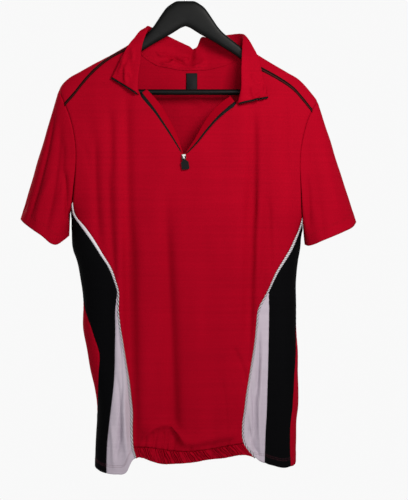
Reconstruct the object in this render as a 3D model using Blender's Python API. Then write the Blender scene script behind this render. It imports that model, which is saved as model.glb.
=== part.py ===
"""Cycling jersey on a hanger.

A short-sleeved half-zip jersey of thin knit hangs on a plain black hanger. The origin is the
centre of the hook, +X is the wearer's left, the front faces -Y and +Z is up.

Each cloth piece is a thin wall. Its middle surface is found from two numbers: an angle round the
body (0 at the front centre, 90 at the wearer's left side, 180 at the back centre) and a fall,
which is 0 on the shoulder ridge and grows down the cloth on either side of it. Places on the
garment are given as x and drop, the millimetres below the hanger's top.
"""
import math

import bmesh
import bpy
import numpy as np

MM = 0.001
HOOK_TO_HANGER = 60.0      # hook centre down to the top of the hanger
WALL = 1.2                 # thickness of the body cloth
TRIM_WALL = 1.0            # thickness of tapes, facings and label
SEAM_GAP = 0.34            # clear space between two pieces at a seam
RIDGE_SPREAD = 70.0        # drop over which the cloth rounds away from the shoulder ridge
FLATNESS = 1.6             # how flat the front and back are between the rounded sides
SOLVE_STEPS = 40           # steps that settle a point's drop and x together
PIPING_TIP = 495.0         # drop where the white wedge starts, under the piping
HANGER_THICK = 12.0
BAR_DIAMETER = 10.0
BAR_DROP = 155.0
HOOK_RADIUS = 19.0
HOOK_WIRE = 3.6
TAPE_WIDTH = 7.0
GATHERS = 34               # small gathers in the elastic hem band
GATHER_STEPS = 4
GATHER_DEPTH = 0.8
GATHER_FADE = 2.0          # gathers over which the depth grows from each end
BAND_END_GAP = 0.5
LABEL_SIZE = (19.0, 29.0)
LABEL_X = 1.0
LABEL_DROP = 121.0
LAID_GAP = 0.4             # clear space under a piece that is laid on another
TAPE_END_GAP = 0.6
TAPE_END_WIDTH = 2.6
COLLAR_GAP = 1.0
COLLAR_RISE = 1.35         # how far the stand aims past the fold, and the fall back towards it
COLLAR_FALL = 0.85
PIPING_WALL = 1.4
PIPING_CROWN = 0.5
SLEEVE_PUFF = 0.12
CUFF_ROUND = 0.75          # how full the open cuff is at its two corners
TUCK_PARTS = (0.55, 0.85)  # part of the armhole where the sleeve tucks in beside the body
FACING_TURN = 0.55         # how steeply the facings turn back into the garment
HANGER_ROUND = 5.0
BAR_END_GAP = 0.35
HOOK_SEAT = 0.35
HANGER_TAPER = 0.35        # share of its thickness that the hanger loses towards its tips
HANGER_TAPER_RUN = (170.0, 201.0)
BAR_SIDES = 10
HOOK_ARC = (-62.0, 205.0)  # start and end of the hook's round part, in degrees
HOOK_ARC_STEPS = 22
HOOK_SHANK = ((0.0, -40.0), (0.2, -34.0), (1.6, -28.5), (3.6, -23.6), (6.0, -19.8))

SLIDER_PLACE = (-2.5, 266.0)
SLIDER_SIZE = (7.6, 9.0, 3.4)
SLIDER_ROUND = 1.1
PULL_STEM = ((3.1, 0.6), (3.1, -5.2))    # half of the tab's outline from its bar down, x and up
PULL_TAB = ((3.4, -7.0), (6.5, -9.5), (6.5, -20.5), (5.0, -22.0))
PULL_WINDOW = ((1.5, 4.0, -0.6), (1.5, 4.0, -4.8))
PULL_THICK = 1.4
PULL_LEAN = 9.0            # degrees that the tab leans towards the wearer's left
PULL_AXIS_OUT = 1.15       # the tab's bar in front of the slider's face
BRIDGE_RISE = 3.3
BRIDGE_REACH = 3.2
BRIDGE_WIRE = 1.1
BRIDGE_WIDTH = 2.0
BRIDGE_SINK = 0.6          # how deep the bridge's feet go into the slider

# How each edge is divided. Parts run from the shoulder ridge (0) to the underarm (1).
FRONT_PARTS = (0.14, 0.24, 0.35, 0.46, 0.57, 0.68, 0.79, 0.90)   # front edge on the armhole
SIDE_FRONT_PARTS = (0.93, 0.965, 1.0)
SIDE_BACK_PARTS = (1.0, 0.94, 0.88)
BACK_PARTS = (0.0, 0.03, 0.08, 0.16, 0.28, 0.42, 0.58, 0.73, 0.88)
FORWARD_PARTS = (0.14, 0.06, 0.0)        # back edge in front of the shoulder ridge
PIPING_ROWS = 7
WEDGE_ROWS = 9
SHOULDER_STEPS = 6
NECK_STEPS = 2
ZIP_STEPS = 6
BACK_NECK_STEPS = 18
WEDGE_STEPS = 4
BAND_ROWS = 2
SLEEVE_ROWS = 8
COLLAR_ROWS = 6
TAPE_END_SKIP = 2
RIDGE_FROM = 0.1           # falls in front of the ridge between which a row comes to follow it
RIDGE_FULL = 0.4
RIDGE_FADE_ROWS = 6
OUTWARD = {"right": -1.0, "left": 1.0}
ANGLE_WEIGHTS = (1.0, 60.0)   # makes a step of fall as long as it looks beside one of angle

RED = (0.45, 0.010, 0.020)
DEEP_RED = (0.40, 0.008, 0.016)
BLACK = (0.006, 0.006, 0.008)
WHITE = (0.62, 0.58, 0.66)
TAPE_BROWN = (0.035, 0.010, 0.012)
HANGER_BLACK = (0.016, 0.017, 0.016)
STEEL = (0.55, 0.55, 0.56)


def table(columns, rows):
    """Rows of numbers as one array for each named column."""
    values = np.array(rows, dtype=float)
    return {name: values[:, index] for index, name in enumerate(columns.split())}


# Level sections of the body. Above the armholes the sides are where the ring would close if the
# sleeves went on flat. Front and back are the depths from the hanger's plane.
BODY = table("drop right_side left_side front back", (
    (40, -250, 254, 31, 29),
    (150, -250, 254, 33, 30),
    (230, -246, 252, 38, 32),
    (300, -232, 244, 42, 34),
    (335, -212, 232, 44, 35),
    (362, -195, 214, 45, 36),
    (388, -193, 199, 45, 36),
    (423, -190, 194, 45, 37),
    (440, -184, 191, 45, 37),
    (474, -178, 188, 44, 37),
    (508, -173.5, 188, 43, 37),
    (559, -173, 188, 42, 38),
    (593, -167, 190, 42, 39),
    (627, -161, 190.5, 42, 40),
    (661, -153.5, 192, 43, 41),
    (690, -149.5, 191, 44, 42),
    (712, -150, 188, 44, 42),
    (746, -152, 187.5, 44, 43),
    (830, -154, 187, 44, 43),
))

# The line along the top of the shoulders, where the cloth passes over the hanger.
RIDGE = table("x drop", (
    (-245, 204), (-224, 165), (-215, 151), (-210, 143), (-200, 133), (-180, 121), (-157, 108.5),
    (-133, 96), (-110, 82.5), (-91, 71.2), (-75, 60), (-60, 50.5), (-30, 42), (0, 40), (30, 42),
    (60, 50.5), (75, 60), (91, 71.2), (103, 79.2), (124, 93), (147, 107), (173, 122), (193, 134),
    (202, 143), (213, 156.5), (224, 171), (245, 206),
))

# Armhole seams, from the shoulder ridge (0) to the underarm (1); the back half has the same line.
ARMHOLE = table("part right_x right_drop left_x left_drop", (
    (0.00, -215, 151, 224, 171),
    (0.07, -211.5, 161, 220.5, 178),
    (0.15, -203.5, 179, 214, 189),
    (0.25, -196, 198, 207, 205),
    (0.37, -189.5, 223, 200, 229),
    (0.50, -185.5, 252, 195, 258),
    (0.62, -185.2, 276, 194, 285),
    (0.78, -187.5, 312, 195, 325),
    (0.90, -191, 343, 197, 370),
    (0.96, -193.5, 356, 198.4, 383),
    (1.00, -195, 362, 199, 388),
))

# Shoulder seams under the tapes, from the neck outwards.
SHOULDER = table("right_x right_drop left_x left_drop", (
    (-97, 79.6, 108, 107),
    (-127, 96.5, 131, 118),
    (-156, 120, 155, 131),
    (-174, 140, 184, 151),
    (-187, 157, 199, 168),
))

# Front neck seams, from the shoulder tape down to the top of the zip.
FRONT_NECK = table("right_x right_drop left_x left_drop", (
    (-97, 79.6, 108, 107),
    (-92, 108, 101.5, 133),
    (-85, 137, 94, 158),
    (-78, 162, 87, 178),
))

# Edges of the front along the zip, with the widths of zip tape and facing that show inside them.
ZIP = table("right_x right_drop left_x left_drop tape right_facing left_facing", (
    (-78, 162, 87, 178, 6.5, 10, 12),
    (-66, 175.5, 69, 191, 5.0, 12, 14),
    (-52, 192, 52, 206, 3.6, 12, 12),
    (-38, 212, 36, 224, 3.0, 10, 8),
    (-24, 233, 19, 245, 2.4, 6, 4.5),
    (-4.6, 264, -0.4, 264, 1.2, 0.6, 0.6),
))

# Back neck seam, with its fall behind the shoulder ridge (negative in front of it).
BACK_NECK = table("x fall", (
    (-97, -0.26), (-95, -0.1), (-92, 0.1), (-87.5, 0.3), (-80, 0.52), (-68, 0.75), (-50, 0.92),
    (-30, 0.99), (-8, 1.03), (15, 1.03), (38, 1.0), (58, 0.92), (74, 0.8), (88, 0.62), (99, 0.42),
    (105, 0.22), (108, 0.0), (109, -0.3), (108, -0.59),
))

# Front seams, from the armhole to the hem, with the width of the piping that covers them.
FRONT_SEAM = table("drop right_x left_x right_piping left_piping", (
    (343, -191, 203, 1.6, 1.4),
    (358, -189.5, 200, 2.0, 1.4),
    (371, -182, 197, 3.4, 1.4),
    (388, -167, 192, 4.6, 1.8),
    (403, -156, 185.5, 4.4, 2.8),
    (423, -145, 176, 3.8, 3.6),
    (443, -130, 164, 3.4, 3.6),
    (465, -122, 151, 3.0, 3.0),
    (481, -115, 144, 2.6, 2.6),
    (495, -112, 137.5, 2.4, 2.4),
    (520, -112.5, 124, 2.4, 2.4),
    (547, -110, 120, 2.4, 2.4),
    (587, -103, 116, 2.4, 2.4),
    (636, -95, 108, 2.4, 2.4),
    (671, -92, 102, 2.4, 2.4),
    (702, -90, 98.5, 2.4, 2.4),
    (735, -90, 95.5, 2.4, 2.4),
    (748, -89.5, 98, 2.4, 2.4),
    (762, -87, 108, 2.4, 2.4),
    (776, -82.5, 118, 2.4, 2.4),
))
FRONT_SEAM_TOP = {"right": 343.0, "left": 370.0}
BAND_TOP = {"right": 756.0, "left": 749.0}
FRONT_HEM = {"right": 774.0, "left": 774.0}
WEDGE_HEM = {"right": 800.0, "left": 781.5}
BACK_SEAM_HEM = {"right": 779.0, "left": 789.0}

# Seams between white wedge and black side panel.
WEDGE_SEAM = table("drop right_x left_x", (
    (495, -115.4, 141), (512, -117.6, 141.2), (547, -118, 141), (600, -119, 140), (636, -120, 139),
    (669, -123, 138), (702, -127, 137), (735, -131, 135), (768, -133, 134), (806, -133, 132.5),
))

# Seams between side panel and back, as angles from the front centre. Under 90 the red of the
# back comes round to the front.
BACK_SEAM = table("drop right left", (
    (400, 114, 112), (440, 112, 110), (474, 103, 104), (505, 90, 98.5), (522, 80, 95),
    (541, 71, 90), (576, 64, 82), (593, 62, 79.5), (610, 63.5, 78), (636, 69, 75), (670, 79, 71),
    (700, 90, 71), (740, 98, 70), (801, 100, 72),
))

# The lower edge as seen from the front, and the upper edge of the hem band.
HEM = table("x drop", (
    (-156, 784), (-153, 790), (-147, 795), (-133, 800), (-114, 801.5), (-102, 800), (-94, 792),
    (-88, 781), (-82, 774), (-71, 774), (-57, 779), (-43, 783), (-13, 783), (18, 780), (36, 776.5),
    (60, 774), (116, 773), (124, 778), (149, 787), (167, 791), (179, 789), (188, 783),
))
BAND_LINE = table("x drop", (
    (-92, 756), (-60, 757), (-30, 761), (0, 763), (35, 760), (70, 754), (100, 749),
))
BACK_HEM = 771.0
BACK_HEM_TURN = 0.2        # share of the back's width over which its hem turns down to the sides
SIDE_HEM = 790.0

# Folds as soft troughs (negative depth) and ridges. Each runs from its top to its low end.
FRONT_FOLDS = table("top_x top_drop low_x low_drop width depth", (
    (-101, 130, -90, 760, 11, -4.6),
    (-118, 190, -108, 740, 9, 2.6),
    (-132, 150, -119, 450, 9, -2.6),
    (-167, 150, -143, 430, 11, -2.4),
    (-34, 290, -17, 750, 13, -4.0),
    (-58, 460, -52, 740, 20, -2.6),
    (12, 420, 22, 730, 24, 2.2),
    (113, 170, 107, 560, 10, -4.0),
    (128, 180, 121, 470, 8, 2.0),
    (142, 300, 128, 500, 8, -2.8),
    (188, 210, 180, 390, 9, -1.8),
    (78, 575, 96, 660, 6, -1.8),
    (-110, 600, -107, 790, 6, -1.8),
    (118, 560, 124, 790, 7, -2.6),
))
BACK_FOLDS = table("top_x top_drop low_x low_drop width depth", (
    (-128, 140, -112, 760, 13, -4.2),
    (-96, 180, -84, 700, 10, 2.4),
    (-30, 200, -40, 765, 16, -3.4),
    (22, 240, 12, 765, 14, 2.6),
    (74, 170, 62, 765, 13, -3.6),
    (131, 160, 118, 765, 12, -4.0),
    (160, 260, 150, 600, 10, 2.0),
))
FOLD_EASE = 70.0           # drop over which a fold grows from nothing
FOLD_RUN_OUT = 30.0        # drop past its low end where a fold has gone
FOLD_START = 0.6           # share of its depth that a fold has at its top
FOLD_FLAT = 0.6            # share of the full depth of the body where folds are complete
ROLL_DEPTH = 5.5           # how far the front swells over the hem band
ROLL_ABOVE = 15.0
ROLL_WIDTH = 9.0
ROLL_SPAN = (-80.0, 92.0)
ROLL_FADE = 22.0

# Cuffs seen from the front, from the outer corner (0) to the corner beside the body (1).
CUFF = table("part right_x right_drop left_x left_drop right_back left_back", (
    (0.00, -280, 371, 290, 376, 371, 376),
    (0.12, -273, 378, 284, 384, 373, 379),
    (0.30, -258, 389, 269, 392, 377, 384),
    (0.50, -242, 400, 248, 401, 383, 391),
    (0.68, -226, 413, 229, 409, 389, 398),
    (0.78, -218, 414, 220, 413, 393, 403),
    (0.90, -206, 406, 209, 416, 397, 410),
    (1.00, -198, 399, 203.5, 414, 399, 414),
))
CUFF_FRONT_DEPTH = 30.0
CUFF_BACK_DEPTH = 27.0

# The collar: where it folds over and where its top edge lies, at stations along the neck seam
# from the right end of the zip (0), round the back, to the left end (22).
COLLAR = table("station fold_x fold_drop fold_y edge_x edge_drop edge_y", (
    (0, -79.5, 159, -37, -124, 131, -24.5),
    (1, -73.5, 122, -32.5, -115, 113, -22.5),
    (2, -68, 76, -20, -99, 80, -15.5),
    (3, -64, 57, -13, -88, 65, -11),
    (4, -62, 49, -9, -78, 53, -8),
    (5, -66.5, 51, 9, -68, 44.5, 1),
    (6, -64, 58, 14, -63, 42, 4),
    (7, -56, 68, 20, -52, 47, 12),
    (8, -38, 80, 28, -33, 56, 24),
    (9, -20, 87, 33, -14, 65, 29),
    (10, -1, 93, 36, 6, 74, 33),
    (10.9, 12, 96, 38, 15.5, 78, 35),
    (11.15, 18, 92, 34, 20, 75, 30),
    (11.4, 25, 87, 33, 25, 62, 30),
    (12, 36, 82, 33, 36, 59.5, 30),
    (13, 54, 79, 30, 53, 57.5, 27),
    (14, 72, 75, 24, 72, 56, 20),
    (15, 85, 70, 18, 84, 55, 14),
    (16, 93, 67, 11, 93, 55, 7),
    (17, 96.5, 64, 3, 100, 57, 0),
    (18, 96, 68, -6, 106, 64, -6),
    (19, 93, 82, -15, 114, 78, -14),
    (20, 90, 107, -27, 124.5, 101, -20.5),
    (21, 90.5, 142, -34, 132, 137, -26),
    (22, 88.5, 175, -39, 139.5, 164, -29),
))

# The hanger's arm, the same both ways: upper and lower edge at a distance from its middle.
HANGER = table("out top bottom", (
    (0, 0, 43), (8, 0, 46), (16, 0.6, 51), (24, 5, 56), (33, 12, 61), (40, 21.5, 65), (47, 32, 69),
    (54, 42.5, 73), (62, 51.9, 78), (75, 63.0, 86), (91, 75.4, 97), (103, 85.0, 107),
    (124, 98.0, 121), (147, 112.2, 135), (173, 127.6, 150), (187, 137.5, 159),
    (195, 145.5, 164), (199, 153, 163),
))


def between(source, column, at, key="drop"):
    """Smooth curve through one column of a table."""
    xs = source[key]
    ys = source[column]
    at = np.asarray(at, dtype=float)
    steps = np.diff(xs)
    rises = np.diff(ys) / steps
    slopes = np.zeros(len(xs))
    slopes[1:-1] = (rises[:-1] * steps[1:] + rises[1:] * steps[:-1]) / (steps[1:] + steps[:-1])
    slopes[0] = rises[0]
    slopes[-1] = rises[-1]
    inside = np.clip(at, xs[0], xs[-1])
    place = np.clip(np.searchsorted(xs, inside) - 1, 0, len(xs) - 2)
    width = steps[place]
    t = (inside - xs[place]) / width
    value = (ys[place] * (1 + 2 * t) * (1 - t) ** 2 + slopes[place] * width * t * (1 - t) ** 2
             + ys[place + 1] * t ** 2 * (3 - 2 * t) + slopes[place + 1] * width * t ** 2 * (t - 1))
    return value


def ease(t):
    """Smooth step from 0 to 1."""
    t = np.clip(t, 0.0, 1.0)
    return t * t * (3.0 - 2.0 * t)


def ring(drop):
    """Middle and half-width of the body's ring at a drop."""
    right = between(BODY, "right_side", drop)
    left = between(BODY, "left_side", drop)
    return (right + left) / 2, (left - right) / 2


def to_angle(x, drop):
    """Angle from the front (or back) centre, in degrees, of a place at x."""
    middle, half = ring(drop)
    return np.degrees(np.arcsin(np.clip((x - middle) / half, -1.0, 1.0)))


def to_fall(x, drop):
    """Fall of a place below the shoulder ridge."""
    below = np.maximum(drop - between(RIDGE, "drop", x, key="x"), 0.0)
    return np.sqrt(below / RIDGE_SPREAD)


def fold_depth(folds, x, drop):
    """How far the folds push the cloth out at a place, in mm."""
    total = np.zeros(np.shape(x))
    for row in range(len(folds["depth"])):
        length = folds["low_drop"][row] - folds["top_drop"][row]
        t = (drop - folds["top_drop"][row]) / length
        line = folds["top_x"][row] + (folds["low_x"][row] - folds["top_x"][row]) * t
        across = np.exp(-((x - line) / folds["width"][row]) ** 2)
        rise = ease((drop - folds["top_drop"][row]) / FOLD_EASE)
        fade = ease((folds["low_drop"][row] + FOLD_RUN_OUT - drop) / FOLD_EASE)
        grown = FOLD_START + (1 - FOLD_START) * np.clip(t, 0, 1)
        total = total + folds["depth"][row] * across * rise * fade * grown
    return total


def roll_depth(x, drop):
    """Swelling of the front just above its hem band."""
    above = between(BAND_LINE, "drop", x, key="x") - ROLL_ABOVE
    bump = np.exp(-((drop - above) / ROLL_WIDTH) ** 2)
    inside = ease((x - ROLL_SPAN[0]) / ROLL_FADE) * ease((ROLL_SPAN[1] - x) / ROLL_FADE)
    return ROLL_DEPTH * bump * inside


def cloth(angle, fall):
    """Points of the body's middle surface, in mm, from angles and falls."""
    angle = np.asarray(angle, dtype=float)
    fall = np.asarray(fall, dtype=float)
    drop = np.full(np.shape(angle + fall), BODY["drop"][0])
    x = np.zeros_like(drop)
    for _ in range(SOLVE_STEPS):
        middle, half = ring(drop)
        x = middle + half * np.sin(np.radians(angle))
        drop = 0.5 * drop + 0.5 * (between(RIDGE, "drop", x, key="x") + RIDGE_SPREAD * fall ** 2)
    round_sides = np.tanh(FLATNESS * np.cos(np.radians(angle))) / math.tanh(FLATNESS)
    forward = round_sides * np.tanh(fall)
    depth = np.where(forward > 0, between(BODY, "front", drop), between(BODY, "back", drop))
    front = fold_depth(FRONT_FOLDS, x, drop) + roll_depth(x, drop)
    back = fold_depth(BACK_FOLDS, x, drop)
    push = np.where(forward > 0, front, back) * ease(np.abs(forward) / FOLD_FLAT)
    y = -forward * depth - np.sign(forward) * push
    return np.stack([x, y, -(HOOK_TO_HANGER + drop)], axis=-1)


def cloth_normals(angle, fall):
    """Outward directions of the body's surface."""
    step_angle = 0.4
    step_fall = 0.004
    across = cloth(angle + step_angle, fall) - cloth(angle - step_angle, fall)
    down = cloth(angle, fall + step_fall) - cloth(angle, fall - step_fall)
    normal = np.cross(down, across)
    return normal / np.linalg.norm(normal, axis=-1, keepdims=True)


def grid_normals(grid, closed=False):
    """Directions across a grid of points, right-handed from its rows and columns."""
    down = np.gradient(grid, axis=0)
    if closed:
        across = np.roll(grid, -1, axis=1) - np.roll(grid, 1, axis=1)
    else:
        across = np.gradient(grid, axis=1)
    normal = np.cross(down, across)
    return normal / np.linalg.norm(normal, axis=-1, keepdims=True)


def patch(top, bottom, right, left, weights=(1.0, 1.0)):
    """Grid between four edges that meet at their ends, each an array of points."""
    def share(points):
        steps = np.linalg.norm(np.diff(points * np.array(weights), axis=0), axis=1)
        run = np.concatenate([[0.0], np.cumsum(steps)])
        return run / run[-1]

    u = (share(top) + share(bottom))[None, :, None] / 2
    v = (share(right) + share(left))[:, None, None] / 2
    rows = (1 - v) * top[None] + v * bottom[None]
    columns = (1 - u) * right[:, None] + u * left[:, None]
    corners = ((1 - v) * ((1 - u) * top[0] + u * top[-1])
               + v * ((1 - u) * bottom[0] + u * bottom[-1]))
    return rows + columns - corners


def pull_in(grid, normals, gap, edges="tblr"):
    """Move the grid's edge points into the piece, to leave a seam gap."""
    moved = grid.copy()
    middle = {"t": (0, 1), "b": (-1, -2)}
    for edge, (outer, inner) in middle.items():
        if edge in edges:
            along = np.gradient(grid[outer], axis=0)
            moved[outer] += gap * inward(along, normals[outer], grid[inner] - grid[outer])
    sides = {"r": (0, 1), "l": (-1, -2)}
    for edge, (outer, inner) in sides.items():
        if edge in edges:
            along = np.gradient(grid[:, outer], axis=0)
            into = inward(along, normals[:, outer], grid[:, inner] - grid[:, outer])
            moved[:, outer] += gap * into
    return moved


def inward(along, normal, towards):
    """Unit directions in the surface, square to an edge and into the piece."""
    side = np.cross(along, normal)
    side /= np.linalg.norm(side, axis=-1, keepdims=True)
    return side * np.sign(np.sum(side * towards, axis=-1, keepdims=True))


def material(name, colour, roughness, metallic=0.0):
    """Plain surface for a piece."""
    made = bpy.data.materials.new(name)
    made.use_nodes = True
    shader = made.node_tree.nodes["Principled BSDF"]
    shader.inputs["Base Color"].default_value = (*colour, 1.0)
    shader.inputs["Roughness"].default_value = roughness
    shader.inputs["Metallic"].default_value = metallic
    return made


def add_object(name, bm, surface, origin=(0.0, 0.0, 0.0)):
    """Turn a bmesh in mm into a named object in metres, with its origin at a point in mm."""
    bmesh.ops.translate(bm, verts=bm.verts, vec=[-value for value in origin])
    bmesh.ops.scale(bm, verts=bm.verts, vec=(MM, MM, MM))
    bmesh.ops.recalc_face_normals(bm, faces=bm.faces)
    mesh = bpy.data.meshes.new(name)
    bm.to_mesh(mesh)
    bm.free()
    mesh.materials.append(surface)
    mesh.shade_smooth()
    mesh.set_sharp_from_angle(angle=math.radians(35))
    made = bpy.data.objects.new(name, mesh)
    made.location = [value * MM for value in origin]
    bpy.context.collection.objects.link(made)
    return made


def add_halves(bm, quad, second):
    """Two triangles on four corners, cut from the first corner or from the second."""
    a, b, c, d = quad
    if second:
        bm.faces.new((b, c, d))
        bm.faces.new((b, d, a))
    else:
        bm.faces.new((a, b, c))
        bm.faces.new((a, c, d))


def add_wall(name, grid, normals, surface, thick=WALL, lift=0.0, closed=False):
    """Closed thin wall round a grid of middle points."""
    outer = grid + normals * (lift + thick / 2)
    inner = grid + normals * (lift - thick / 2)
    rows, columns = grid.shape[:2]
    bm = bmesh.new()
    out = [[bm.verts.new(outer[r, c]) for c in range(columns)] for r in range(rows)]
    back = [[bm.verts.new(inner[r, c]) for c in range(columns)] for r in range(rows)]
    steps = columns if closed else columns - 1
    for r in range(rows - 1):
        for c in range(steps):
            n = (c + 1) % columns
            first_cut = np.linalg.norm(grid[r, c] - grid[r + 1, n])
            second_cut = np.linalg.norm(grid[r, n] - grid[r + 1, c])
            for wall in (out, back):
                quad = (wall[r][c], wall[r][n], wall[r + 1][n], wall[r + 1][c])
                add_halves(bm, quad, second_cut < first_cut)
    for c in range(steps):
        n = (c + 1) % columns
        bm.faces.new((out[0][c], back[0][c], back[0][n], out[0][n]))
        bm.faces.new((out[-1][c], out[-1][n], back[-1][n], back[-1][c]))
    if not closed:
        for r in range(rows - 1):
            bm.faces.new((out[r][0], out[r + 1][0], back[r + 1][0], back[r][0]))
            bm.faces.new((out[r][-1], back[r][-1], back[r + 1][-1], out[r + 1][-1]))
    return add_object(name, bm, surface)


def seam_run(source, side, parts):
    """Places (x, drop) at even shares along a table of x and drop columns."""
    xs = source[side + "_x"]
    drops = source[side + "_drop"]
    steps = np.hypot(np.diff(xs), np.diff(drops))
    share = np.concatenate([[0.0], np.cumsum(steps)]) / np.sum(steps)
    run = {"share": share, "x": xs, "drop": drops}
    at = np.linspace(0, 1, parts + 1)
    return np.stack([between(run, "x", at, "share"), between(run, "drop", at, "share")], axis=1)


def armhole(side, at):
    """Places (x, drop) at parts of one half of an armhole."""
    return np.stack([between(ARMHOLE, side + "_x", at, "part"),
                     between(ARMHOLE, side + "_drop", at, "part")], axis=-1)


def front_domain(places):
    """Angles and falls of places (x, drop) on the front."""
    return to_angle(places[..., 0], places[..., 1]), to_fall(places[..., 0], places[..., 1])


def back_domain(places, sign=1.0):
    """Angles from the back centre, and falls, of places (x, drop)."""
    angle = to_angle(places[..., 0], places[..., 1])
    return np.stack([angle, sign * to_fall(places[..., 0], places[..., 1])], axis=-1)


def seam_drops(side):
    """Drops of the stations down the front seam, from the armhole to the hem."""
    upper = np.linspace(FRONT_SEAM_TOP[side], PIPING_TIP, PIPING_ROWS + 1)
    lower = np.linspace(PIPING_TIP, BAND_TOP[side], WEDGE_ROWS + 1)
    return np.concatenate([upper, lower[1:], [FRONT_HEM[side]]])


def front_seam(side):
    """Places down the front's edge."""
    drops = seam_drops(side)
    return np.stack([between(FRONT_SEAM, side + "_x", drops), drops], axis=1)


def piping_seam(side):
    """Places down the outer edge of the piping."""
    places = front_seam(side)
    width = between(FRONT_SEAM, side + "_piping", places[:, 1])
    along = np.gradient(places, axis=0)
    along /= np.linalg.norm(along, axis=1, keepdims=True)
    outward = np.stack([along[:, 1], -along[:, 0]], axis=1) * OUTWARD[side]
    moved = places + outward * width[:, None]
    moved[0] = armhole(side, SIDE_FRONT_PARTS[0])
    return moved


def front_grid():
    """Places (x, drop) over the front panel."""
    rows = len(FRONT_PARTS) + PIPING_ROWS + WEDGE_ROWS
    edges = {}
    for side in ("right", "left"):
        upper = armhole(side, FRONT_PARTS)
        edges[side] = np.concatenate([upper[:-1], front_seam(side)])[:rows]
    shoulder = {side: shoulder_seam(side) for side in edges}
    neck = {side: seam_run(FRONT_NECK, side, NECK_STEPS) for side in edges}
    opening = {side: seam_run(ZIP, side, ZIP_STEPS) for side in edges}
    top = np.concatenate([
        shoulder["right"][::-1], neck["right"][1:], opening["right"][1:],
        opening["left"][::-1], neck["left"][::-1][1:], shoulder["left"][1:],
    ])
    low_x = np.linspace(edges["right"][-1, 0], edges["left"][-1, 0], len(top))
    bottom = np.stack([low_x, between(BAND_LINE, "drop", low_x, key="x")], axis=1)
    bottom[0] = edges["right"][-1]
    bottom[-1] = edges["left"][-1]
    return patch(top, bottom, edges["right"], edges["left"])


def shoulder_seam(side):
    """Places along the shoulder seam, from the neck to the armhole."""
    run = {key: np.append(SHOULDER[key], value) for key, value in zip(
        (side + "_x", side + "_drop"), armhole(side, FRONT_PARTS[0]))}
    return seam_run(run, side, SHOULDER_STEPS)


def back_edge(side):
    """Angles and falls down the back's edge, from the shoulder tape to the hem."""
    forward = back_domain(armhole(side, FORWARD_PARTS), -1.0)
    behind = back_domain(armhole(side, BACK_PARTS))
    return np.concatenate([forward, behind[1:], back_seam(side)[1:]])


def back_seam(side):
    """Angles from the back centre, and falls, of the seam between side panel and back."""
    start = back_domain(armhole(side, BACK_PARTS[-1:]))
    drops = seam_drops(side)[1:]
    drops = BACK_SEAM["drop"][0] + (drops - drops[0]) * (
        (BACK_SEAM_HEM[side] - BACK_SEAM["drop"][0]) / (drops[-1] - drops[0]))
    from_back = (180.0 - between(BACK_SEAM, side, drops)) * OUTWARD[side]
    middle, half = ring(drops)
    x = middle + half * np.sin(np.radians(from_back))
    return np.concatenate([start, np.stack([from_back, to_fall(x, drops)], axis=1)])


def back_neck():
    """Angles from the back centre, and falls, along the back neck seam."""
    at = np.linspace(0, len(BACK_NECK["x"]) - 1, BACK_NECK_STEPS + 1)
    run = {"row": np.arange(len(BACK_NECK["x"]), dtype=float), **BACK_NECK}
    x = between(run, "x", at, "row")
    fall = between(run, "fall", at, "row")
    drop = between(RIDGE, "drop", x, key="x") + RIDGE_SPREAD * fall ** 2
    return np.stack([to_angle(x, drop), fall], axis=1)


def back_grid():
    """Angles from the back centre, and falls, over the back panel."""
    right = back_edge("right")
    left = back_edge("left")
    shoulders = {side: back_domain(shoulder_seam(side), -1.0) for side in ("right", "left")}
    neck = back_neck()
    neck[0] = shoulders["right"][0]
    neck[-1] = shoulders["left"][0]
    top = np.concatenate([shoulders["right"][::-1], neck[1:], shoulders["left"][1:]])
    share = np.linspace(0, 1, len(top))
    angles = right[-1, 0] + (left[-1, 0] - right[-1, 0]) * share
    near_right = 1 - ease(share / BACK_HEM_TURN)
    near_left = 1 - ease((1 - share) / BACK_HEM_TURN)
    drops = (BACK_HEM + (BACK_SEAM_HEM["right"] - BACK_HEM) * near_right
             + (BACK_SEAM_HEM["left"] - BACK_HEM) * near_left)
    middle, half = ring(drops)
    x = middle + half * np.sin(np.radians(angles))
    bottom = np.stack([angles, to_fall(x, drops)], axis=1)
    bottom[0] = right[-1]
    bottom[-1] = left[-1]
    return along_ridge(patch(top, bottom, right, left, ANGLE_WEIGHTS))


def along_ridge(grid):
    """Bring one row of the back onto the shoulder ridge, where the back comes forward over it."""
    ridge_row = len(FORWARD_PARTS) - 1
    forward = ease((-grid[0, :, 1] - RIDGE_FROM) / (RIDGE_FULL - RIDGE_FROM))
    rows = np.arange(len(grid))[:, None]
    behind = 1 - ease((rows - ridge_row) / RIDGE_FADE_ROWS)
    share = np.where(rows <= ridge_row, rows / ridge_row, behind)
    grid[..., 1] -= share * forward * grid[ridge_row, :, 1]
    return grid


def side_grid(side):
    """Angles round from the front, and falls, over a black side panel."""
    sign = OUTWARD[side]
    behind = back_seam(side)
    behind[:, 0] = sign * 180.0 - behind[:, 0]
    front = piping_seam(side)
    front[PIPING_ROWS:] = wedge_places(side)
    front = np.stack(front_domain(front), axis=1)
    arm_front = armhole(side, SIDE_FRONT_PARTS)
    arm_back = armhole(side, SIDE_BACK_PARTS)
    top_front = np.stack(front_domain(arm_front), axis=1)
    top_back = np.stack(front_domain(arm_back), axis=1)
    top_back[:, 0] = sign * 180.0 - top_back[:, 0]
    top_front[-1] = ((sign * 90.0, top_front[-1, 1]))
    top = np.concatenate([top_front, top_back[1:]])
    top[0] = front[0]
    top[-1] = behind[0]
    share = np.linspace(0, 1, len(top))
    bottom = (1 - share)[:, None] * front[-1] + share[:, None] * behind[-1]
    middle, half = ring(SIDE_HEM)
    x = middle + half * np.sin(np.radians(bottom[1:-1, 0]))
    bottom[1:-1, 1] = to_fall(x, between(HEM, "drop", x, key="x"))
    return patch(top, bottom, front, behind, ANGLE_WEIGHTS)


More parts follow.
